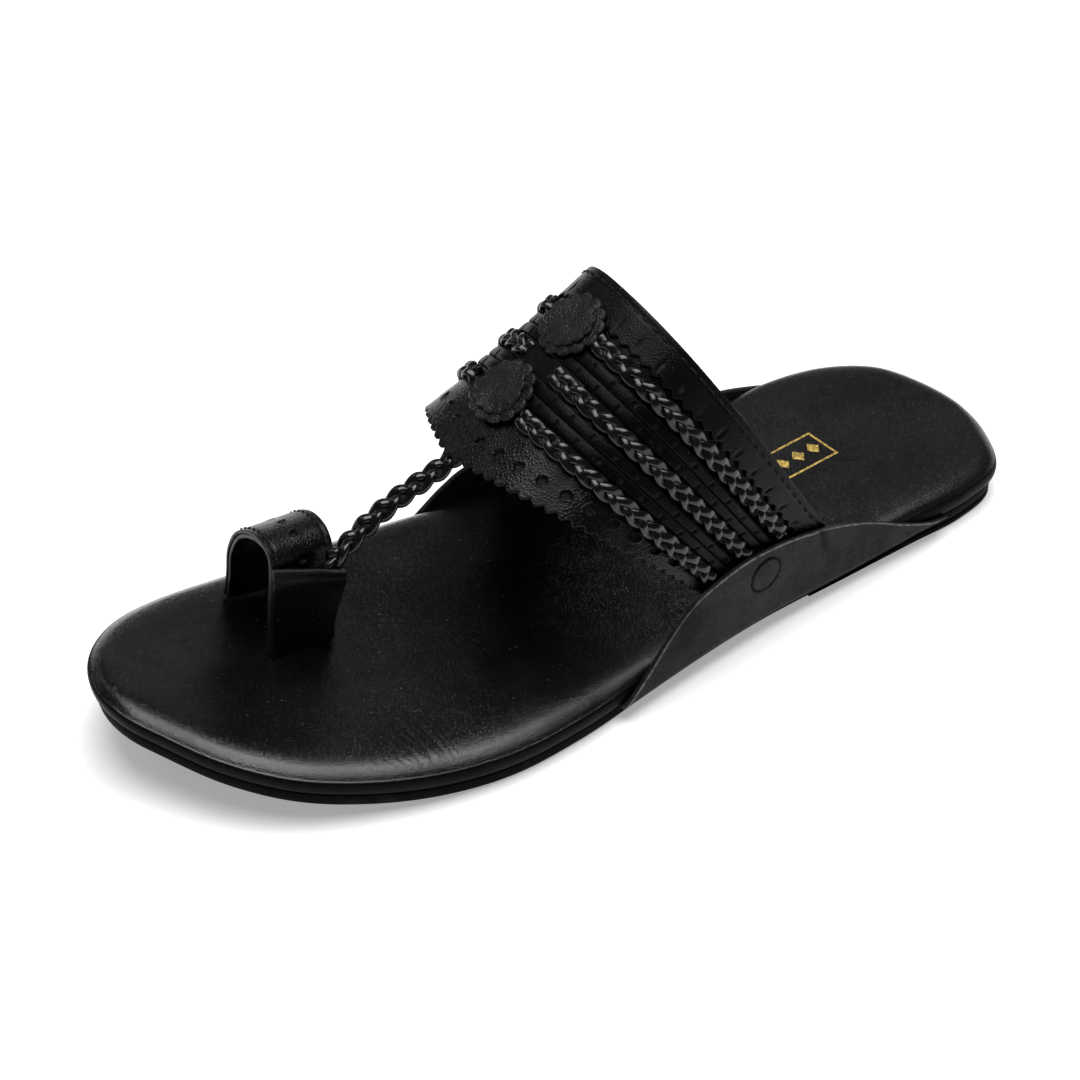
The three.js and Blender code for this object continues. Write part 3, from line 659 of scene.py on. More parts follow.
def leather(name, tint, edge, gloss, cell, depth, dust, marks, shine, swell=0.35):
    """Dyed leather. Its grain is rounded cells of one size in mm with fine noise on them, its gloss and
    colour wander slowly, it swells softly over a few centimetres, and a few pale specks of dust lie on
    it. marks names what else it has: "rubbed" is duller towards the heel, "mottle" is blotched, "cut"
    has cut edges in the edge colour, which on the ears is a painted highlight, "pit" is painted
    shade, dark where it is punched or pressed in, and "deep" is painted shade, dark where a strand
    dives under the next."""
    n = Nodes(name)
    grain, fine = n.ramp(n.cells(cell), 0.0, 0.42), n.noise(cell * 0.45, 4)
    slow, patch = n.noise(12.0, 1), n.noise(26.0, 2)
    colour = n.blend(n.ramp(slow, 0.3, 0.75, 0.0, 0.55), shade(tint), shade(tint, 1.9, 0.001))
    colour = n.blend(n.ramp(grain, 0.0, 0.5, 0.35, 0.0), colour, shade(tint, 0.4))
    speck = n.times(n.ramp(n.cells(2.3, "F1"), 0.05, 0.085, 1.0, 0.0), n.ramp(n.noise(7.0, 3), 0.5, 0.62))
    colour = n.blend(n.times(speck, dust), colour, DUST)
    roughness = n.ramp(patch, 0.3, 0.7, gloss - 0.03, gloss + 0.05)
    roughness = n.plus(roughness, n.ramp(grain, 0.0, 0.6, 0.05, 0.0))
    if "rubbed" in marks:
        place = n.add("SeparateXYZ")
        n.link(n.place, place.inputs[0])
        roughness = n.plus(roughness, n.ramp(place.outputs["Y"], 0.0, 0.07, 0.0, 0.06))
    if "mottle" in marks:
        blotch = n.plus(n.times(n.noise(1.1, 5, 0.75), 0.6), n.times(n.noise(9.0, 4), 0.4))
        colour = n.blend(n.ramp(blotch, 0.36, 0.64), shade(tint, 0.35), shade(tint, 2.0))
    # on the ears the edge colour is a painted highlight on the cut edge's outer corner; elsewhere it is the cut
    # edge's own tone
    if "cut" in marks:
        cut = n.times(n.attribute("cut"), n.ramp(n.noise(1.6, 3), 0.3, 0.7, 0.35, 1.0))
        colour = n.blend(cut, colour, shade(edge))
        roughness = n.plus(roughness, n.times(cut, 0.2))
    # painted shade: black and duller where the surface is pressed in
    if "pit" in marks:
        colour = n.blend(n.attribute("pit"), colour, PIT_SHADE_BLACK)
        roughness = n.plus(roughness, n.times(n.attribute("pit"), 0.4))
    # painted shade: darker where a strand dives under the next
    if "deep" in marks:
        colour = n.blend(n.times(n.attribute("deep"), 0.85), colour, shade(tint, 0.2))
        roughness = n.plus(roughness, n.ramp(n.attribute("deep"), 0.3, 0.9, 0.0, 0.1))
    height = n.plus(grain, n.times(fine, 0.7))
    normal = n.bump(height, depth, n.bump(slow, swell))
    return n.finish(Base_Color=colour, Roughness=roughness, Normal=normal, Specular_IOR_Level=shine)


def rubber(name, tint):
    """Matt sole rubber with fine sanding marks and grey scuffs."""
    n = Nodes(name)
    fine, scuff = n.noise(0.35, 4), n.noise(7.0, 5)
    colour = n.blend(n.ramp(scuff, 0.52, 0.72, 0.0, 0.35), shade(tint), SCUFF_GREY)
    roughness = n.ramp(fine, 0.3, 0.7, 0.5, 0.72)
    return n.finish(Base_Color=colour, Roughness=roughness, Normal=n.bump(fine, 0.06), Specular_IOR_Level=0.04)


def thread(name, tint):
    """Waxed sewing thread, lighter where its plies stand up."""
    n = Nodes(name)
    ply = n.noise(0.3, 2)
    colour = n.blend(n.ramp(ply, 0.35, 0.65), shade(tint), shade(tint, 3.0))
    return n.finish(Base_Color=colour, Roughness=0.5, Normal=n.bump(ply, 0.05), Specular_IOR_Level=0.12)


def foil(name, tint):
    """Worn metal foil pressed into leather: bright where it holds, and dull and dark where it has gone."""
    n = Nodes(name)
    held = n.ramp(n.noise(0.7, 4), 0.44, 0.56)
    return n.finish(
        Base_Color=n.blend(held, shade(tint, 0.25), shade(tint)),
        Metallic=n.ramp(held, 0, 1, 0.0, 0.35, smooth=False),
        Roughness=n.ramp(n.noise(1.5, 3), 0.3, 0.7, 0.35, 0.55),
        Normal=n.bump(n.noise(0.4, 3), 0.03),
    )


def floor_paint(name, tint):
    """Matt pale paint with a weak glow of its own, and a tone that hardly wanders."""
    n = Nodes(name)
    tone = n.ramp(n.noise(60.0, 2), 0.3, 0.7, 0.985, 1.0)
    return n.finish(
        Base_Color=n.blend(tone, shade(tint, 0.96), shade(tint)),
        Roughness=0.9,
        Specular_IOR_Level=0.1,
        Emission_Color=(1, 1, 1, 1),
        Emission_Strength=0.34,
    )


HIDES = {  # colour, gloss, grain size and depth in mm, dust, marks, shine, and swell in mm
    "footbed_hide": ("footbed", 0.175, 0.6, 0.036, 0.32, ("pit", "rubbed"), 0.46, 0.2),
    "footbed_side": ("footbed", 0.40, 0.7, 0.05, 0.2, ("pit",), 0.04),
    "band_hide": ("band", 0.21, 0.7, 0.045, 0.15, ("cut", "pit"), 0.11),
    "strip_hide": ("band", 0.23, 0.7, 0.04, 0.15, ("cut", "pit"), 0.07),
    "pebbled_hide": ("pebbled", 0.215, 0.9, 0.07, 0.2, ("cut", "pit"), 0.22),
    "ear_hide": ("ears", 0.38, 0.6, 0.20, 0.3, ("cut", "pit", "mottle"), 0.05),
    "braid_hide": ("braids", 0.14, 0.5, 0.012, 0.1, ("deep",), 0.48),
    "rosette_hide": ("rosettes", 0.34, 0.9, 0.10, 0.15, ("cut",), 0.30),
}


def finish_of(name):
    """The material of that name, made the first time that it is asked for."""
    found = bpy.data.materials.get(name)
    if found:
        return found
    colours = bpy.context.scene.sandal_colours
    if name in HIDES:
        colour, *finish = HIDES[name]
        edge = colours.ear_edge if name == "ear_hide" else colours.cut_edge
        return leather(name, getattr(colours, colour), edge, *finish)
    others = {
        "sole_rubber": (rubber, colours.outsole),
        "black_thread": (thread, THREAD_TINT),
        "gold_foil": (foil, colours.foil),
        "floor_paint": (floor_paint, colours.floor),
    }
    make, tint = others[name]
    return make(name, tint)


# -------- what a user may change


def length_property(name, description, default):
    """A length in metres that the user may change."""
    return FloatProperty(
        name=name, description=description, default=default, subtype="DISTANCE", unit="LENGTH"
    )


def colour_property(name, description, default):
    """A colour that the user may change."""
    return FloatVectorProperty(
        name=name, description=description, default=default, subtype="COLOR", min=0, max=1, size=3
    )


class SandalSizes(bpy.types.PropertyGroup):
    tooth_pitch: length_property("Tooth Pitch", "Pitch of the pinked teeth along the band's front edge", 0.0040)
    tooth_depth: length_property("Tooth Depth", "Depth of the pinked teeth", 0.0016)
    hole_pitch: length_property("Hole Pitch", "Distance between the punched holes", 0.0075)
    hole_radius: length_property("Hole Radius", "Radius of the punched holes", 0.0014)
    braid_pitch: length_property("Braid Pitch", "Length of one whole turn of the band's braids", 0.0162)
    strap_pitch: length_property("Strap Pitch", "Length of one whole turn of the toe strap's braid", 0.0180)
    stitch_length: length_property("Stitch Length", "Length of one stitch", 0.0027)
    lobes: IntProperty(
        name="Rosette Lobes", description="How many scallops a rosette's edge has", default=13, min=6, max=30
    )


def size_mm(name):
    """A size that the user may change, in mm."""
    return getattr(bpy.context.scene.sandal_sizes, name) / MM


class SandalColours(bpy.types.PropertyGroup):
    footbed: colour_property("Footbed", "Colour of the footbed leather", (0.0019, 0.0018, 0.0019))
    band: colour_property("Band", "Colour of the band's plain leather", (0.0018, 0.0018, 0.0019))
    pebbled: colour_property("Pebbled", "Colour of the pebbled front panel", (0.0014, 0.0013, 0.0014))
    ears: colour_property("Ears", "Colour of the ears", (0.0145, 0.0142, 0.0143))
    # the ears' edge colour is a painted highlight along their cut edges' outer corner
    ear_edge: colour_property("Ear Edge", "Colour of the worn line on the ears", (0.20, 0.195, 0.19))
    braids: colour_property("Braids", "Colour of the braided leather", (0.0028, 0.0027, 0.0028))
    rosettes: colour_property("Rosettes", "Colour of the rosettes", (0.0040, 0.0039, 0.0040))
    cut_edge: colour_property("Cut Edge", "Colour of the leather's cut edges", (0.020, 0.0185, 0.017))
    outsole: colour_property("Outsole", "Colour of the outsole rubber", (0.0024, 0.0023, 0.0022))
    foil: colour_property("Foil", "Colour of the foil frame on the footbed", (0.80, 0.54, 0.13))
    floor: colour_property("Floor", "Colour of the floor", (0.93, 0.93, 0.93))


# -------- footbed and outsole

CREASES = [  # fine wrinkles where the sole bends: start and end (along, side), depth
    ((202.5, 38), (204.0, 56), 0.08), ((205.0, 34), (205.6, 59), 0.13),
    ((207.6, 36), (207.2, 60), 0.12), ((210.4, 29), (208.6, 60), 0.17),
    ((213.0, 33), (210.1, 61), 0.12), ((215.6, 28), (211.8, 60), 0.18),
    ((219.0, 34), (213.0, 60), 0.15), ((222.4, 31), (214.8, 60), 0.16),
    ((225.4, 38), (216.6, 59), 0.11), ((229.2, 36), (218.4, 58), 0.13),
    ((232.6, 43), (220.8, 57), 0.08),
]
HOLLOWS = [  # bell curves: depth, then middle and reach along, then middle and reach to the side
    (0.45, 38, 24, 0, 18),
    (0.4, 195, 26, 12, 26),
    (0.25, 248, 11, -6, 16),
]
SOLE_EDGE_INSETS = OUTSOLE["inset"] + np.array([0.7, 0.2, 0, 0, 0.15, 0.4])
SOLE_EDGE_SHARES = [0, 0.12, 0.35, 0.8, 0.95, 1]
FOIL = {"long": 32.0, "wide": 12.8, "line": 0.75, "thick": 0.05}
LOZENGES = {"count": 5, "half_long": 2.1, "half_wide": 2.6}
FOIL_CORNER, FOIL_RUN = np.array([48.1, 3.9]), np.array([0.991, 0.133])  # both (along, side)


def sole_slab(insets, heights, low, high, relief=None, stations=200, inside=12, front=None):
    """A slab with the sole's outline. insets and heights draw its edge from the underside to the top,
    and heights are shares from low(along) to high(along). relief(along, side) adds to the top. It has
    a number of rows inside the top's edge, and may end at a straight front."""
    lateral, medial = outline_halves(stations)
    if front:
        keep = np.maximum(lateral[:, 0], medial[:, 0]) < front
        lateral, medial = lateral[keep], medial[keep]
    insets, heights = np.asarray(insets)[None, :, None], np.asarray(heights)[None, :]
    sides = [h[:, None, :2] - h[:, None, 2:] * insets for h in (lateral, medial)]
    share = np.linspace(0, 1, inside + 2)[None, 1:-1, None]
    top = lerp(sides[0][:, -1:], sides[1][:, -1:], share)
    bottom = lerp(sides[1][:, :1], sides[0][:, :1], share[:, :-4:4])  # fewer rows, and an even ring
    plan = np.concatenate([sides[0], top, sides[1][:, ::-1], bottom], 1)
    level = [heights, np.ones((1, top.shape[1])), heights[:, ::-1], np.zeros((1, bottom.shape[1]))]
    level = np.broadcast_to(np.concatenate(level, 1), plan.shape[:2])
    along, side = plan[..., 0], plan[..., 1]
    z = lerp(low(along), high(along), level)
    if relief:
        z = z + relief(along, side) * smoothstep(level, 0.45, 0.8)
    points = np.stack([along, side, z], -1)
    return ring_shell(points, (False, bool(front)), pit=np.zeros_like(z), turned=(level < 0.7).astype(float))


def rim_roll(along, side, deepest=1.7, drop=1.25):
    """How much more the footbed's edge rolls off at the toe, and half as much at the heel: the distance
    x from the edge times e to the power 1 - x, both in units of the deepest place."""
    x = np.full(np.shape(along), 1e3)
    for sign in (1, -1):
        inwards = (edge_side(along, sign) - side) * edge_outward(along, sign)[..., 1]
        x = np.minimum(x, np.maximum(inwards, 0) / deepest)
    amount = smoothstep(along, 128, 168) + 0.5 * (1 - smoothstep(along, 25, 60))
    return drop * amount * x * np.exp(1 - x)


def footbed_relief(along, side):
    """The footbed's soft shape: hollows, which are bell curves, a slow wave across the forefoot, the
    roll of the edge, and the fine wrinkles, each a narrow trough with a lip along a wavy line."""
    z = 0.0
    for depth, middle, reach, side_middle, side_reach in HOLLOWS:
        z = z - depth * np.exp(-(((along - middle) / reach) ** 2) - ((side - side_middle) / side_reach) ** 2)
    z = z + 0.22 * np.sin(along / 17 + side / 23) * np.exp(-(((along - 215) / 50) ** 2))
    z = z - rim_roll(along, side)
    for (a0, s0), (a1, s1), depth in CREASES:
        length = math.hypot(a1 - a0, s1 - s0)
        t = ((along - a0) * (a1 - a0) + (side - s0) * (s1 - s0)) / length**2
        off = ((along - a0) * (s1 - s0) - (side - s0) * (a1 - a0)) / length + 0.35 * np.sin(3 * t + a0)
        trough = bump_shape(off, 0.38) - 0.5 * bump_shape(off - 0.7, 0.45)
        z = z - 0.55 * depth * trough * smoothstep(t, -0.1, 0.5) * (1 - smoothstep(t, 0.85, 1.15))
    return z


def sheet_underside(along):
    """The outsole's top less its thickness."""
    return outsole_top(along) - OUTSOLE["thickness"]


def heel_top(along):
    """Just below the outsole's sheet."""
    return sheet_underside(along) - 0.08


def on_foil(x, y, offset):
    """A point of the foil frame: x runs along it from its corner, and y across it, on the footbed."""
    along = FOIL_CORNER[0] + FOIL_RUN[0] * x + FOIL_RUN[1] * y
    side = FOIL_CORNER[1] + FOIL_RUN[1] * x - FOIL_RUN[0] * y
    return np.stack([along, side, footbed_top(along) + footbed_relief(along, side) + offset], -1)


class SANDAL_OT_sole(bpy.types.Operator):
    """Build the footbed, the outsole with its heel piece, and the foil frame on the footbed"""

    bl_idname = "sandal.sole"
    bl_label = "Sole"

    def execute(self, context):
        edge = smooth_curve(np.stack([FOOTBED_EDGE["inset"], FOOTBED_EDGE["height"]], 1), per_span=5)
        shares = np.maximum.accumulate(edge[:, 1]) / FOOTBED_THICKNESS
        slab = sole_slab(edge[:, 0], shares, footbed_underside, footbed_top, footbed_relief, 640, 44)
        cover = add_piece(
            "footbed_cover", [slab], "footbed_hide", ["footbed"], 60, weld=True
        )
        self.darken_side(cover.data)
        rubber_edge = SOLE_EDGE_INSETS, SOLE_EDGE_SHARES
        sheet = sole_slab(*rubber_edge, sheet_underside, outsole_top)
        add_piece("outsole_sheet", [sheet], "sole_rubber", ["outsole"], 40, weld=True)
        heel = sole_slab(*rubber_edge, ground, heel_top, front=OUTSOLE["breast_front"] - 10)
        add_piece("heel_piece", [heel], "sole_rubber", ["outsole"], 40, weld=True)
        self.foil_frame()
        return {"FINISHED"}

    def darken_side(self, mesh):
        """Gives the faces that have turned under the rim their own duller finish."""
        turned = np.zeros(len(mesh.vertices), np.float32)
        mesh.attributes["turned"].data.foreach_get("value", turned)
        first = np.zeros(len(mesh.polygons), np.int32)
        mesh.polygons.foreach_get("loop_start", first)
        corner = np.zeros(len(mesh.loops), np.int32)
        mesh.loops.foreach_get("vertex_index", corner)
        mesh.materials.append(finish_of("footbed_side"))
        mesh.polygons.foreach_set("material_index", (turned[corner[first]] > 0.5).astype(np.int32))

    def foil_frame(self):
        """Four thin bars round a row of lozenges, laid flat on the footbed from the heel forwards."""
        long, wide, line, thick = FOIL.values()
        count, half_long, half_wide = LOZENGES.values()

        def bar(x, low, high):
            return plate(on_foil, x, low, high, 1.0, -thick, thick, edge=0.04, rows=3)

        length = np.linspace(0, long, 34)
        shells = [bar(length, 0.0, line), bar(length, wide - line, wide)]
        for x in (0.02, long - line - 0.02):
            shells.append(bar(np.linspace(x, x + line, 4), line + thick, wide - line - thick))
        for middle in np.linspace(2 * half_long, long - 2 * half_long, count):
            x = np.linspace(middle - half_long, middle + half_long, 13)
            half = half_wide * (1 - np.abs(x - middle) / half_long) + 0.06
            shells.append(bar(x, wide / 2 - half, wide / 2 + half))
        add_piece("foil_frame", shells, "gold_foil")


# -------- the band


def even_across(share_of, spacing):
    """Places across the band at an even spacing in mm along a line, with their arc from the ridge."""
    across, arc = arc_across(share_of)
    count = int(round((arc[-1] - arc[0]) / spacing)) + 1
    at = np.linspace(arc[0], arc[-1], count)
    return np.interp(at, arc, across), at


def tooth(arc, pitch):
    """A zigzag from 0 at the tips to 1 in the notches."""
    return 1 - np.abs(2 * np.mod(arc / pitch, 1) - 1)


FRONT_FOLDS = [  # across, depth, width
    (0.36, 0.35, 0.06), (-0.38, 0.35, 0.06), (0.60, 0.28, 0.05), (-0.6, 0.25, 0.05), (0.12, 0.22, 0.04),
]
REAR_FOLDS = [(0.5, 0.3, 0.06), (-0.5, 0.3, 0.06), (0.25, 0.2, 0.05)]


def folds(run, rows, lean=0.0):
    """Soft folds across a panel, each a bell curve along its run."""
    return -sum(depth * bump_shape(run - middle - lean, spread) for middle, depth, spread in rows)


def cut_rows(arc, pitch):
    """The distance in mm to the nearest of the short cuts, which lie a pitch apart."""
    return np.mod(arc, pitch) - pitch / 2


class SANDAL_OT_band(bpy.types.Operator):
    """Build the band's layers: the pebbled front panel, the lining, the rear panel and the strips"""

    bl_idname = "sandal.band"
    bl_label = "Band"

    def execute(self, context):
        self.front_panel()
        self.lining()
        self.rear_panel()
        self.strips()
        return {"FINISHED"}

    def front_panel(self):
        """A pinked panel, with holes punched in a row behind its teeth and raised a little round them."""
        pitch, depth = size_mm("tooth_pitch"), size_mm("tooth_depth")
        across, arc = even_across(front_share, pitch / 10)
        per_mm = band_share_per_mm(across, 0.85)
        front = front_share(across) - depth * tooth(arc, pitch) * per_mm
        hole, holes = size_mm("hole_radius"), self.hole_places(arc)

        def relief(run, width):
            place = np.interp(run, across, arc)
            behind = (front_share(run) - width) / np.interp(run, across, per_mm)
            z = folds(run, FRONT_FOLDS, 0.15 * (width - 0.8))
            for middle, back in holes:
                r = np.hypot(place - middle, behind - back)
                z = z - 0.9 * (1 - smoothstep(r, hole - 0.2, hole + 0.15))
                z = z + 0.10 * bump_shape(r - hole - 0.35, 0.3)
            return z

        rear, top = braid_share(BRAIDS[0], across), FRONT_LAYER - WALL
        panel = plate(on_band, across, rear, front, per_mm, -WALL, top, edge=0.3, rows=52, relief=relief)
        add_piece("band_front_panel", [panel], "pebbled_hide", ["upper"], 40)

    def hole_places(self, arc):
        """Where the holes are: their arc from the ridge, and how far behind the front edge."""
        every, row = size_mm("hole_pitch"), HOLE_ROW
        count = int((min(arc[-1], -arc[0]) - row["first"] - row["spare"]) / every)
        backs = row["back_at_ridge"], row["back_at_foot"]
        at = row["first"] + every * np.arange(count)
        return [(sign * a, lerp(*backs, min(a / row["run"], 1))) for a in at for sign in (1, -1)]

    def lining(self):
        across, _ = even_across(partial(braid_share, BRAIDS[1]), 1.2)
        front = braid_share(BRAIDS[0], across) - 0.002
        per_mm = band_share_per_mm(across)
        shell = plate(on_band, across, 0.0, front, per_mm, -WALL, LINING_TOP, edge=0.4, rows=34)
        add_piece("band_lining", [shell], "strip_hide", ["upper"])

    def rear_panel(self):
        """A panel with a pinked front edge, short cuts in a row behind its seam, and the seam's groove."""
        across, arc = even_across(partial(braid_share, BRAIDS[2]), 0.45)
        per_mm = band_share_per_mm(across, 0.15)
        front = braid_share(BRAIDS[2], across) - (HALF_BRAID + 0.1 + 1.5 * tooth(arc, 4.0)) * per_mm

        def relief(run, width):
            behind = width / np.interp(run, across, per_mm)
            cuts = bump_shape(cut_rows(np.interp(run, across, arc), 8.0), 0.34)
            z = folds(run, REAR_FOLDS) - 0.34 * cuts * bump_shape(behind - 7.5, 1.8)
            return z - 0.16 * bump_shape(behind - BAND_SEAM["behind"], 0.5)

        shell = plate(on_band, across, 0.0, front, per_mm, UPPER_BOTTOM, 0.0, rows=26, relief=relief)
        add_piece("band_rear_panel", [shell], "band_hide", ["upper"])

    def strips(self):
        """Two crowned strips with short cuts between each pair of braids, and a patch under the middle
        braid at the ridge."""
        shells = []
        for front_braid, rear_braid in zip(BRAIDS, BRAIDS[1:]):
            across, arc = even_across(partial(braid_share, front_braid), 0.4)
            per_mm = band_share_per_mm(across, braid_share(front_braid, across) - 0.1)
            rear = braid_share(rear_braid, across) + HALF_BRAID * per_mm
            front = braid_share(front_braid, across) - HALF_BRAID * per_mm
            middle, half_slit = (rear + front) / 2, SLIT / 2 * per_mm
            for low, high in ((rear, middle - half_slit), (middle + half_slit, front)):
                relief = partial(self.strip_relief, across, arc, low, high)
                strip = plate(
                    on_band, across, low, high, per_mm, UPPER_BOTTOM, STRIP_TOP, edge=0.4, rows=7, relief=relief
                )
                shells.append(strip)
        patch = np.linspace(-0.13, 0.2, 60)
        per_mm = band_share_per_mm(patch, 0.45)
        centre, half = braid_share(BRAIDS[1], patch), 3.2 * per_mm
        shells.append(plate(on_band, patch, centre - half, centre + half, per_mm, UPPER_BOTTOM, 0.0, edge=0.4))
        add_piece("band_strips", shells, "strip_hide", ["upper"])

    def strip_relief(self, across, arc, low, high, run, width):
        """A strip's crown is half an ellipse across its width, and its cuts lie on its front part."""
        rear, front = np.interp(run, across, low), np.interp(run, across, high)
        q = np.clip((width - rear) / (front - rear), 0, 1)
        cuts = bump_shape(cut_rows(np.interp(run, across, arc) + 40 * low[0], 7.5), 0.34)
        crown = 0.3 * np.sqrt(np.clip(4 * q * (1 - q), 0, 1)) - 0.3 + 0.08 * np.sin(run * 37)
        return crown - 0.36 * cuts * smoothstep(q, 0.2, 0.5)


class SANDAL_OT_braids(bpy.types.Operator):
    """Build the six braids of the band"""

    bl_idname = "sandal.braids"
    bl_label = "Braids"

    def execute(self, context):
        for sign in (1, -1):
            for braid in BRAIDS:
                self.braid(sign, braid)
        return {"FINISHED"}

    def braid(self, sign, braid):
        across, arc = arc_across(partial(braid_share, braid))
        top, bottom = np.interp([sign * braid[sign], sign * BRAID_BOTTOM], across, arc)

        def point(d, sideways, up):
            a = np.interp(top + sign * d, arc, across)
            share = braid_share(braid, a)
            return on_band(a, share + sideways * band_share_per_mm(a, share), up + 0.35)

        strands = plait(point, abs(bottom - top), size_mm("braid_pitch"), **BRAID_STRAND)
        name = "braid_%s_%s" % (SIDE_NAMES[sign], braid["name"])
        add_piece(name + "_plait", strands, "braid_hide", [name], 60)


class SANDAL_OT_rosettes(bpy.types.Operator):
    """Build the two rosettes, each of two scalloped leather discs"""

    bl_idname = "sandal.rosettes"
    bl_label = "Rosettes"

    def execute(self, context):
        for name, (share, across) in ROSETTES.items():
            shells = [self.disc(share, across, **size) for size in ROSETTE_DISCS]
            node = "rosette_" + name
            add_piece(node + "_discs", shells, "rosette_hide", [node], 40, weld=True)
        return {"FINISHED"}

    def disc(self, share, across, radius, low, high, turn_by):
        """A disc whose edge is a radius times 1 plus a cosine of the lobes. It bends over the ridge as
        a parabola, ripples towards its edge and dips a little in the middle. Its rings go out along
        its underside, over its edge and back in along its face."""
        lobes = bpy.context.scene.sandal_sizes.lobes
        place = np.array(share), np.array(across)
        up, forward = band_normal(*place), unit(RIDGE_FRONT - RIDGE_REAR)
        centre, sideways = band_point(*place) + up * 0.6, unit(np.cross(up, forward))
        turn = np.linspace(0, 2 * math.pi, lobes * 10, endpoint=False)
        reach, corner = np.linspace(0, 1, 16)[:-1], 0.04
        rings = [(r, low) for r in reach]
        rings += [(1 - corner, low), (1, low + 0.25), (1, high - 0.3), (1 - corner, high)]
        rings += [(r, high) for r in reach[::-1]]
        r, lift = (np.array(v)[:, None] for v in zip(*rings))
        edge = np.abs(np.cos(lobes * (turn + turn_by) / 2)) ** 0.6
        spread = radius * (0.89 + 0.11 * edge + 0.015 * np.sin(3 * turn + 9 * share))
        x, y = r * spread * np.cos(turn), r * spread * np.sin(turn)
        ripple = 0.10 * r**4 * np.cos(lobes * (turn + turn_by)) + 0.38 * r**3 * np.sin(2 * turn + 5 * share)
        dip = -0.25 * np.exp(-((r / 0.45) ** 2)) + 0.2 * np.sin(3 * turn + 4 * r + 7 * share) * r
        z = lift + (lift > (low + high) / 2) * dip + ripple * np.minimum(1, lift) - x**2 / 180
        points = centre + sideways * x[..., None] + forward * y[..., None] + up * z[..., None]
        cut = (r >= 1 - corner / 2) * np.ones_like(turn)
        return ring_shell(points, capped=(False, False), cut=cut)


# -------- toe loop, toe strap and tab

ARCH_CURVE = smooth_curve(np.stack([LOOP_ARCH["side"], LOOP_ARCH["rise"]], 1))
ARCH_LENGTH = lengths_along(ARCH_CURVE)[-1]


def loop_place(run, width, offset):
    """The toe loop: run is a share of the arch's length, width a share from rear to front, and offset
    is outwards from the loop's outer face."""
    p = at_share(ARCH_CURVE, run)
    ahead, behind = np.minimum(run + 0.004, 1), np.maximum(run - 0.004, 0)
    t = unit(at_share(ARCH_CURVE, ahead) - at_share(ARCH_CURVE, behind))
    risen = p[..., 1] / LOOP_ARCH["rise"].max()
    along = lerp(LOOP["rear"], LOOP["front"], width) - LOOP["lean"] * risen
    side = p[..., 0] - t[..., 1] * offset - LOOP["turn"] * (1 - width) * risen
    height = np.maximum(p[..., 1] + t[..., 0] * offset, 0)
    return np.stack([along, side, height + footbed_top(along) + 2 * GAP], -1)


def tab_place(run, width, offset):
    """The toe tab: run goes from its front to its rear, width from the footbed to its top, and offset
    is outwards from the leg of the loop. It stands off the leg by powers of run and width."""
    rows = {k: v[-4:][::-1] for k, v in LOOP_ARCH.items()}
    along = lerp(TAB["front"], TAB["rear"], run) - lerp(TAB["front_lean"], TAB["rear_lean"], run) * width
    bottom = footbed_top(along) + 2 * GAP
    height = lerp(bottom, lerp(TAB["front_top"], TAB["rear_top"], run), width)
    stand_off = TAB["stand_off"] * run**1.1 * np.clip(width, 0, 1) ** 1.2
    side = column(rows, "side", "rise")(height - bottom) + GAP + stand_off + offset
    return np.stack([along, side, height], -1)


STRAP_CURVE = smooth_curve(STRAP_PATH)
STRAP_LENGTH = lengths_along(STRAP_CURVE)[-1]


def strap_point(d, sideways, up):
    """Round the toe strap's middle line: sideways is level and square to it, and up square to both."""
    share = d / STRAP_LENGTH
    p = at_share(STRAP_CURVE, share)
    forward = unit(at_share(STRAP_CURVE, share + 0.01) - at_share(STRAP_CURVE, share - 0.01))
    across = unit(np.cross(forward, np.array([0.0, 0.0, 1.0])))
    return p + across * sideways[..., None] + np.cross(across, forward) * up[..., None]


class SANDAL_OT_toe(bpy.types.Operator):
    """Build the toe loop, the braided toe strap and the tab that joins them"""

    bl_idname = "sandal.toe"
    bl_label = "Toe Loop And Strap"

    def execute(self, context):
        run = np.linspace(0, 1, 190)
        outer = plate(
            loop_place, run, 0.0, 1.0, 1 / LOOP_WIDTH, -LOOP_OUTER, 0.0, edge=0.4, rows=56,
            relief=self.loop_relief,
        )
        low, high = -LOOP["wall"], -LOOP_LINING
        lining = plate(loop_place, run, 0.012, 0.988, 1 / LOOP_WIDTH, low, high, rows=14)
        add_piece("toe_loop", [outer, lining], "pebbled_hide", ["upper"], 45)

        tab = plate(
            tab_place, np.linspace(0, 1, 40), 0.0, 1.0, 1 / TAB["height"], 0.0, TAB["wall"],
            edge=0.5, rows=40, relief=self.tab_relief,
        )
        add_piece("toe_tab_sheath", [tab], "band_hide", ["toe_tab"], 45)

        strands = plait(strap_point, STRAP_LENGTH, size_mm("strap_pitch"), **STRAP_STRAND)
        add_piece("toe_strap_plait", strands, "braid_hide", ["upper"], 60)
        return {"FINISHED"}

    def loop_relief(self, run, width):
        """A crown across the loop, a row of holes along its middle, and a groove under each seam."""
        z = 0.16 * (1 - (2 * width - 1) ** 2)
        for hole in range(LOOP_HOLES["count"]):
            middle = (LOOP_HOLES["first"] + LOOP_HOLES["pitch"] * hole) / ARCH_LENGTH
            r = np.hypot((run - middle) * ARCH_LENGTH, (width - 0.5) * LOOP_WIDTH)
            z = z - 0.85 * (1 - smoothstep(r, 0.95, 1.25)) + 0.08 * bump_shape(r - 1.5, 0.3)
        for seam in (LOOP_SEAM, LOOP_WIDTH - LOOP_SEAM):
            z = z - 0.16 * bump_shape(width * LOOP_WIDTH - seam, 0.5)
        return z - 0.16

    def tab_relief(self, run, width):
        """A groove below the tab's top edge, and a soft crease that leans across it."""
        return -0.25 * bump_shape(width - 0.93, 0.02) - 0.3 * bump_shape(run - 0.45 - 0.2 * width, 0.1) * width


# -------- ears and rivets


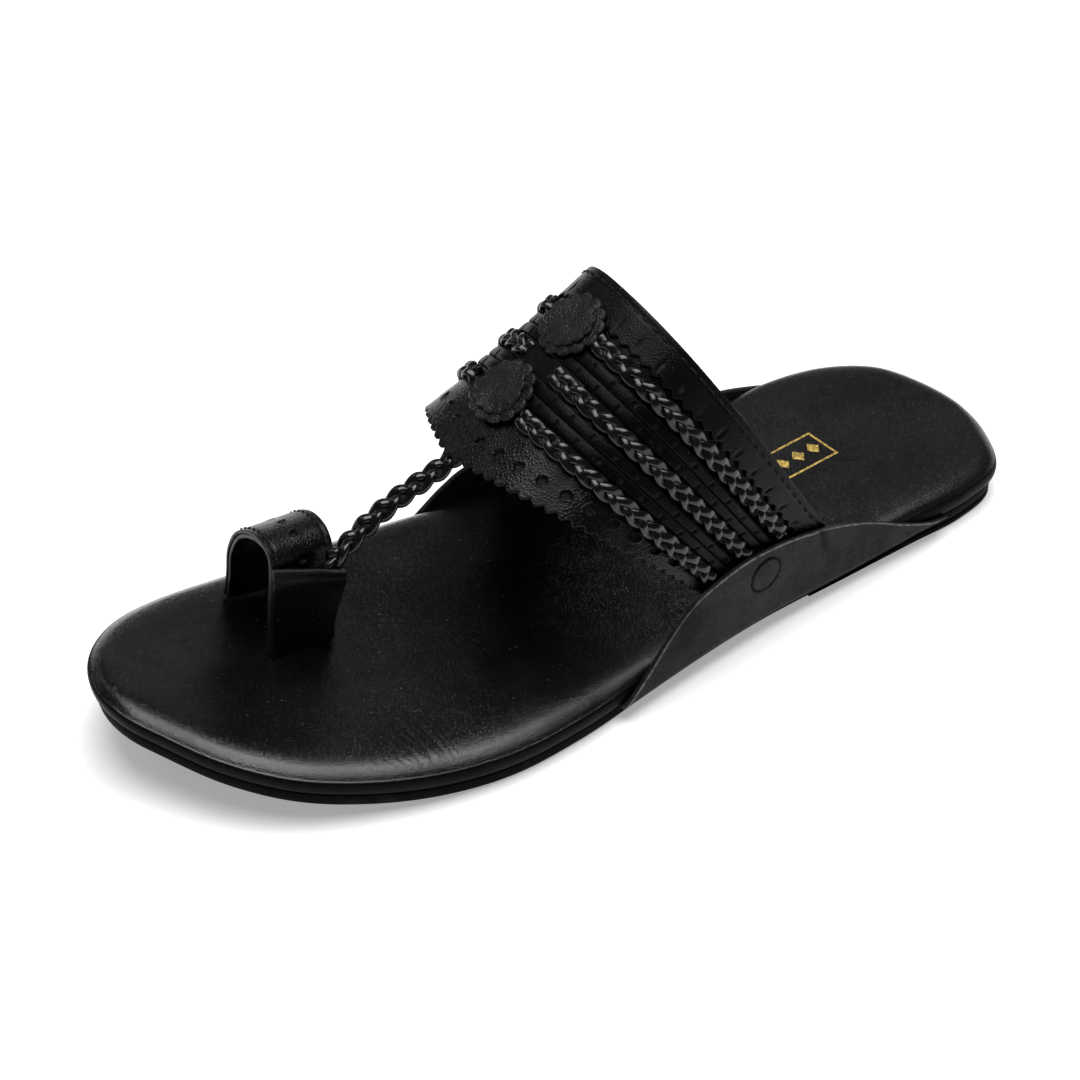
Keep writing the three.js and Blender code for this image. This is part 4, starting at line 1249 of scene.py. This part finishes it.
class Ear:
    """An ear's surface. place(run, height, offset) gives its points: run goes from its tail to its tip,
    height is in mm, and offset is outwards from the inner face. Below the footbed's widest ring it
    follows the footbed's edge, and above it flares out in a straight line."""

    def __init__(self, sign):
        self.sign = sign
        self.name = SIDE_NAMES[sign]
        self.tail, self.tip = EAR_TOP[sign]["along"][[0, -1]]
        self.top = column(EAR_TOP[sign], "top")
        self.inset = column(FOOTBED_EDGE, "inset", "height")
        self.rivet_along, self.rivet_height = RIVET[sign]
        self.crease = EAR_CREASE[sign]

    def place(self, run, height, offset):
        along = lerp(self.tail, self.tip, run)
        above = height - footbed_underside(along)
        follow = EAR_CLEARANCE - self.inset(np.minimum(above, WIDEST))
        out = follow + EAR_FLARE * np.maximum(above - WIDEST, 0) + offset
        p = np.stack([along, edge_side(along, self.sign), height], -1)
        return p + edge_outward(along, self.sign) * out[..., None]

    def relief(self, run, height):
        """A round seat for the rivet cap, a crease with a ridge beside it, and a hollow at the tip."""
        along, lean = lerp(self.tail, self.tip, run), 0.25 * (height - 20)
        r = np.hypot(along - self.rivet_along, height - self.rivet_height)
        z = -0.55 * (1 - smoothstep(r, RIVET_RADIUS - 0.1, RIVET_RADIUS + 0.35))
        z = z - 0.30 * bump_shape(along - self.crease - lean, 1.6) * smoothstep(height, 16, 24)
        z = z + 0.30 * bump_shape(along - self.crease - 3.5 - lean, 1.8) * smoothstep(height, 17, 25)
        return z - 0.3 * bump_shape(along - 136, 5.5) * smoothstep(height, 9, 16)


class SANDAL_OT_ears(bpy.types.Operator):
    """Build the two ears and their flush rivet caps"""

    bl_idname = "sandal.ears"
    bl_label = "Ears And Rivets"

    def execute(self, context):
        for sign in (1, -1):
            ear = Ear(sign)
            self.cover(ear)
            self.cap(ear)
        return {"FINISHED"}

    def cover(self, ear):
        """The ear itself. Its stations are the mean of an even spacing and of a cosine, so that they
        lie closer towards its ends."""
        run = 0.5 - 0.5 * np.cos(np.linspace(0, math.pi, 230))
        run = 0.5 * run + 0.5 * np.linspace(0, 1, 230)
        along = lerp(ear.tail, ear.tip, run)
        bottom = footbed_underside(along)
        top = np.maximum(ear.top(along), bottom + LEAST_EAR)
        # the outer corner of its cut edges carries a painted highlight line
        shell = plate(
            ear.place, run, bottom, top, 1.0, 0.0, EAR_WALL, edge=0.55, rows=44, relief=ear.relief,
            side_rows=4, highlight=EAR_WALL - EAR_HIGHLIGHT,
        )
        node = "ear_" + ear.name
        add_piece(node + "_cover", [shell], "ear_hide", [node], 45)

    def cap(self, ear):
        """A disc that lies in the ear's round seat: rings out along its back, over a rounded rim and in
        over its face."""
        turn = np.linspace(0, 2 * math.pi, 64, endpoint=False)
        face, rim = EAR_WALL + 0.12, RIVET_RADIUS - 0.3
        rings = [(0, 0.9), (0.5, 0.9), (1, 0.9), (1, face - 0.35), (0.97, face - 0.12), (0.92, face)]
        rings += [(r, face + 0.1 * (1 - r)) for r in (0.75, 0.5, 0.25, 0)]
        r, deep = (np.array(v)[:, None] for v in zip(*rings))
        along = ear.rivet_along + rim * r * np.cos(turn)
        height = ear.rivet_height + rim * r * np.sin(turn)
        run = (along - ear.tail) / (ear.tip - ear.tail)
        points = ear.place(run, height, deep * np.ones_like(turn))
        shell = ring_shell(points, capped=(False, False), cut=np.zeros_like(along), pit=np.zeros_like(along))
        node = "rivet_cap_" + ear.name
        add_piece(node + "_disc", [shell], "ear_hide", [node], 45, weld=True)


class SANDAL_OT_stitches(bpy.types.Operator):
    """Sew the rows of stitches along the band's rear edge and both edges of the toe loop"""

    bl_idname = "sandal.stitches"
    bl_label = "Stitches"

    def execute(self, context):
        length, seam = size_mm("stitch_length"), BAND_SEAM
        across, arc = arc_across(partial(np.full_like, fill_value=seam["share"]))

        def along_band(d, offset):
            a = np.interp(d, arc, across)
            return on_band(a, seam["behind"] * band_share_per_mm(a, 0.05), offset - 0.02)

        low, high = np.interp([-seam["ends"], seam["ends"]], across, arc)
        starts = np.arange(low, high, length + seam["gap"])
        rows = bead_row(along_band, starts, length, seam["radius"])
        add_piece("band_stitches", rows, "black_thread")

        def along_loop(edge, d, offset):
            return loop_place(d / ARCH_LENGTH, np.full_like(d, edge / LOOP_WIDTH), offset - 0.1)

        row = LOOP_STITCHES
        starts = np.arange(row["first"], ARCH_LENGTH - row["spare"], row["pitch"])
        rows = []
        for edge in (LOOP_SEAM, LOOP_WIDTH - LOOP_SEAM):
            rows += bead_row(partial(along_loop, edge), starts, row["length"], row["radius"])
        add_piece("toe_loop_stitches", rows, "black_thread")
        return {"FINISHED"}


# -------- floor, lights and camera

CAMERA_PLACE, CAMERA_AIM = (0.47667, -0.29658, 0.46237), (0.0022, -0.0149, 0.030)
LAMPS = {  # place, width and height in metres, and watts
    "overhead": ((0.0, 0.14, 1.90), 1.5, 1.6, 44),
    "side": ((-1.40, -0.66, 1.18), 0.7, 0.7, 1.6),
    "rear": ((-1.30, 0.80, 0.42), 1.3, 0.45, 0.6),
}
LAMP_AIM = (0, 0, 0.03)
ROOM_STRENGTH = 0.08
HORIZON_STRENGTH = 0.42  # as pale as the floor's far end
FLOOR_HALF = 12.0


def put_in_scene(name, data, place, aim):
    """A camera or lamp at a place, turned towards its aim."""
    thing = bpy.data.objects.new(name, data)
    thing.location = place
    thing.rotation_euler = (Vector(aim) - Vector(place)).to_track_quat("-Z", "Y").to_euler()
    bpy.context.scene.collection.objects.link(thing)
    return thing


class SANDAL_OT_stage(bpy.types.Operator):
    """Lay the pale floor, hang the soft lights and set the camera"""

    bl_idname = "sandal.stage"
    bl_label = "Stage"

    def execute(self, context):
        scene = context.scene
        scene.view_settings.view_transform = "Standard"
        data = bpy.data.cameras.new("camera")
        data.lens, data.sensor_width, data.clip_end = 87.0, 36.0, 50.0
        scene.camera = put_in_scene("camera", data, CAMERA_PLACE, CAMERA_AIM)
        self.floor()
        self.world(scene)
        for name, (place, wide, high, watts) in LAMPS.items():
            data = bpy.data.lights.new(name, "AREA")
            data.shape = "RECTANGLE"
            data.size, data.size_y, data.energy = wide, high, watts
            put_in_scene(name, data, place, LAMP_AIM).visible_camera = False
        return {"FINISHED"}

    def world(self, scene):
        """A dim grey room, which looks as pale as the floor's far end where it is seen directly."""
        world = bpy.data.worlds.new("studio")
        world.use_nodes = True
        nodes, links = world.node_tree.nodes, world.node_tree.links
        room, seen = nodes["Background"], nodes.new("ShaderNodeBackground")
        for background, strength in ((room, ROOM_STRENGTH), (seen, HORIZON_STRENGTH)):
            background.inputs["Strength"].default_value = strength
            background.inputs["Color"].default_value = (1, 1, 1, 1)
        mix, path = nodes.new("ShaderNodeMixShader"), nodes.new("ShaderNodeLightPath")
        links.new(path.outputs["Is Camera Ray"], mix.inputs[0])
        links.new(room.outputs[0], mix.inputs[1])
        links.new(seen.outputs[0], mix.inputs[2])
        links.new(mix.outputs[0], nodes["World Output"].inputs["Surface"])
        scene.world = world

    def floor(self):
        """A square plane just under the sandal."""
        level = CAD_BOX[0].z - 0.0002
        mesh = bpy.data.meshes.new("floor")
        corners = [(x * FLOOR_HALF, y * FLOOR_HALF, level) for x, y in ((-1, -1), (1, -1), (1, 1), (-1, 1))]
        mesh.from_pydata(corners, [], [(0, 1, 2, 3)])
        mesh.materials.append(finish_of("floor_paint"))
        floor = bpy.data.objects.new("floor", mesh)
        bpy.context.scene.collection.objects.link(floor)


STEPS = (
    SANDAL_OT_stage,
    SANDAL_OT_sole,
    SANDAL_OT_band,
    SANDAL_OT_braids,
    SANDAL_OT_rosettes,
    SANDAL_OT_toe,
    SANDAL_OT_ears,
    SANDAL_OT_stitches,
)


class SANDAL_PT_panel(bpy.types.Panel):
    """The sandal's sizes, colours and building steps"""

    bl_idname = "SANDAL_PT_panel"
    bl_label = "Sandal"
    bl_space_type = "VIEW_3D"
    bl_region_type = "UI"
    bl_category = "Sandal"

    def draw(self, context):
        layout = self.layout
        for group in (context.scene.sandal_sizes, context.scene.sandal_colours):
            box = layout.box()
            for name in group.__annotations__:
                box.prop(group, name)
        for step in STEPS:
            layout.operator(step.bl_idname)


CLASSES = (SandalSizes, SandalColours, *STEPS, SANDAL_PT_panel)


def register():
    for cls in CLASSES:
        bpy.utils.register_class(cls)
    bpy.types.Scene.sandal_sizes = PointerProperty(type=SandalSizes)
    bpy.types.Scene.sandal_colours = PointerProperty(type=SandalColours)


def unregister():
    del bpy.types.Scene.sandal_colours
    del bpy.types.Scene.sandal_sizes
    for cls in reversed(CLASSES):
        bpy.utils.unregister_class(cls)


def main():
    register()
    for step in STEPS:
        getattr(bpy.ops.sandal, step.bl_idname.removeprefix("sandal."))()


if __name__ == "__main__":
    main()
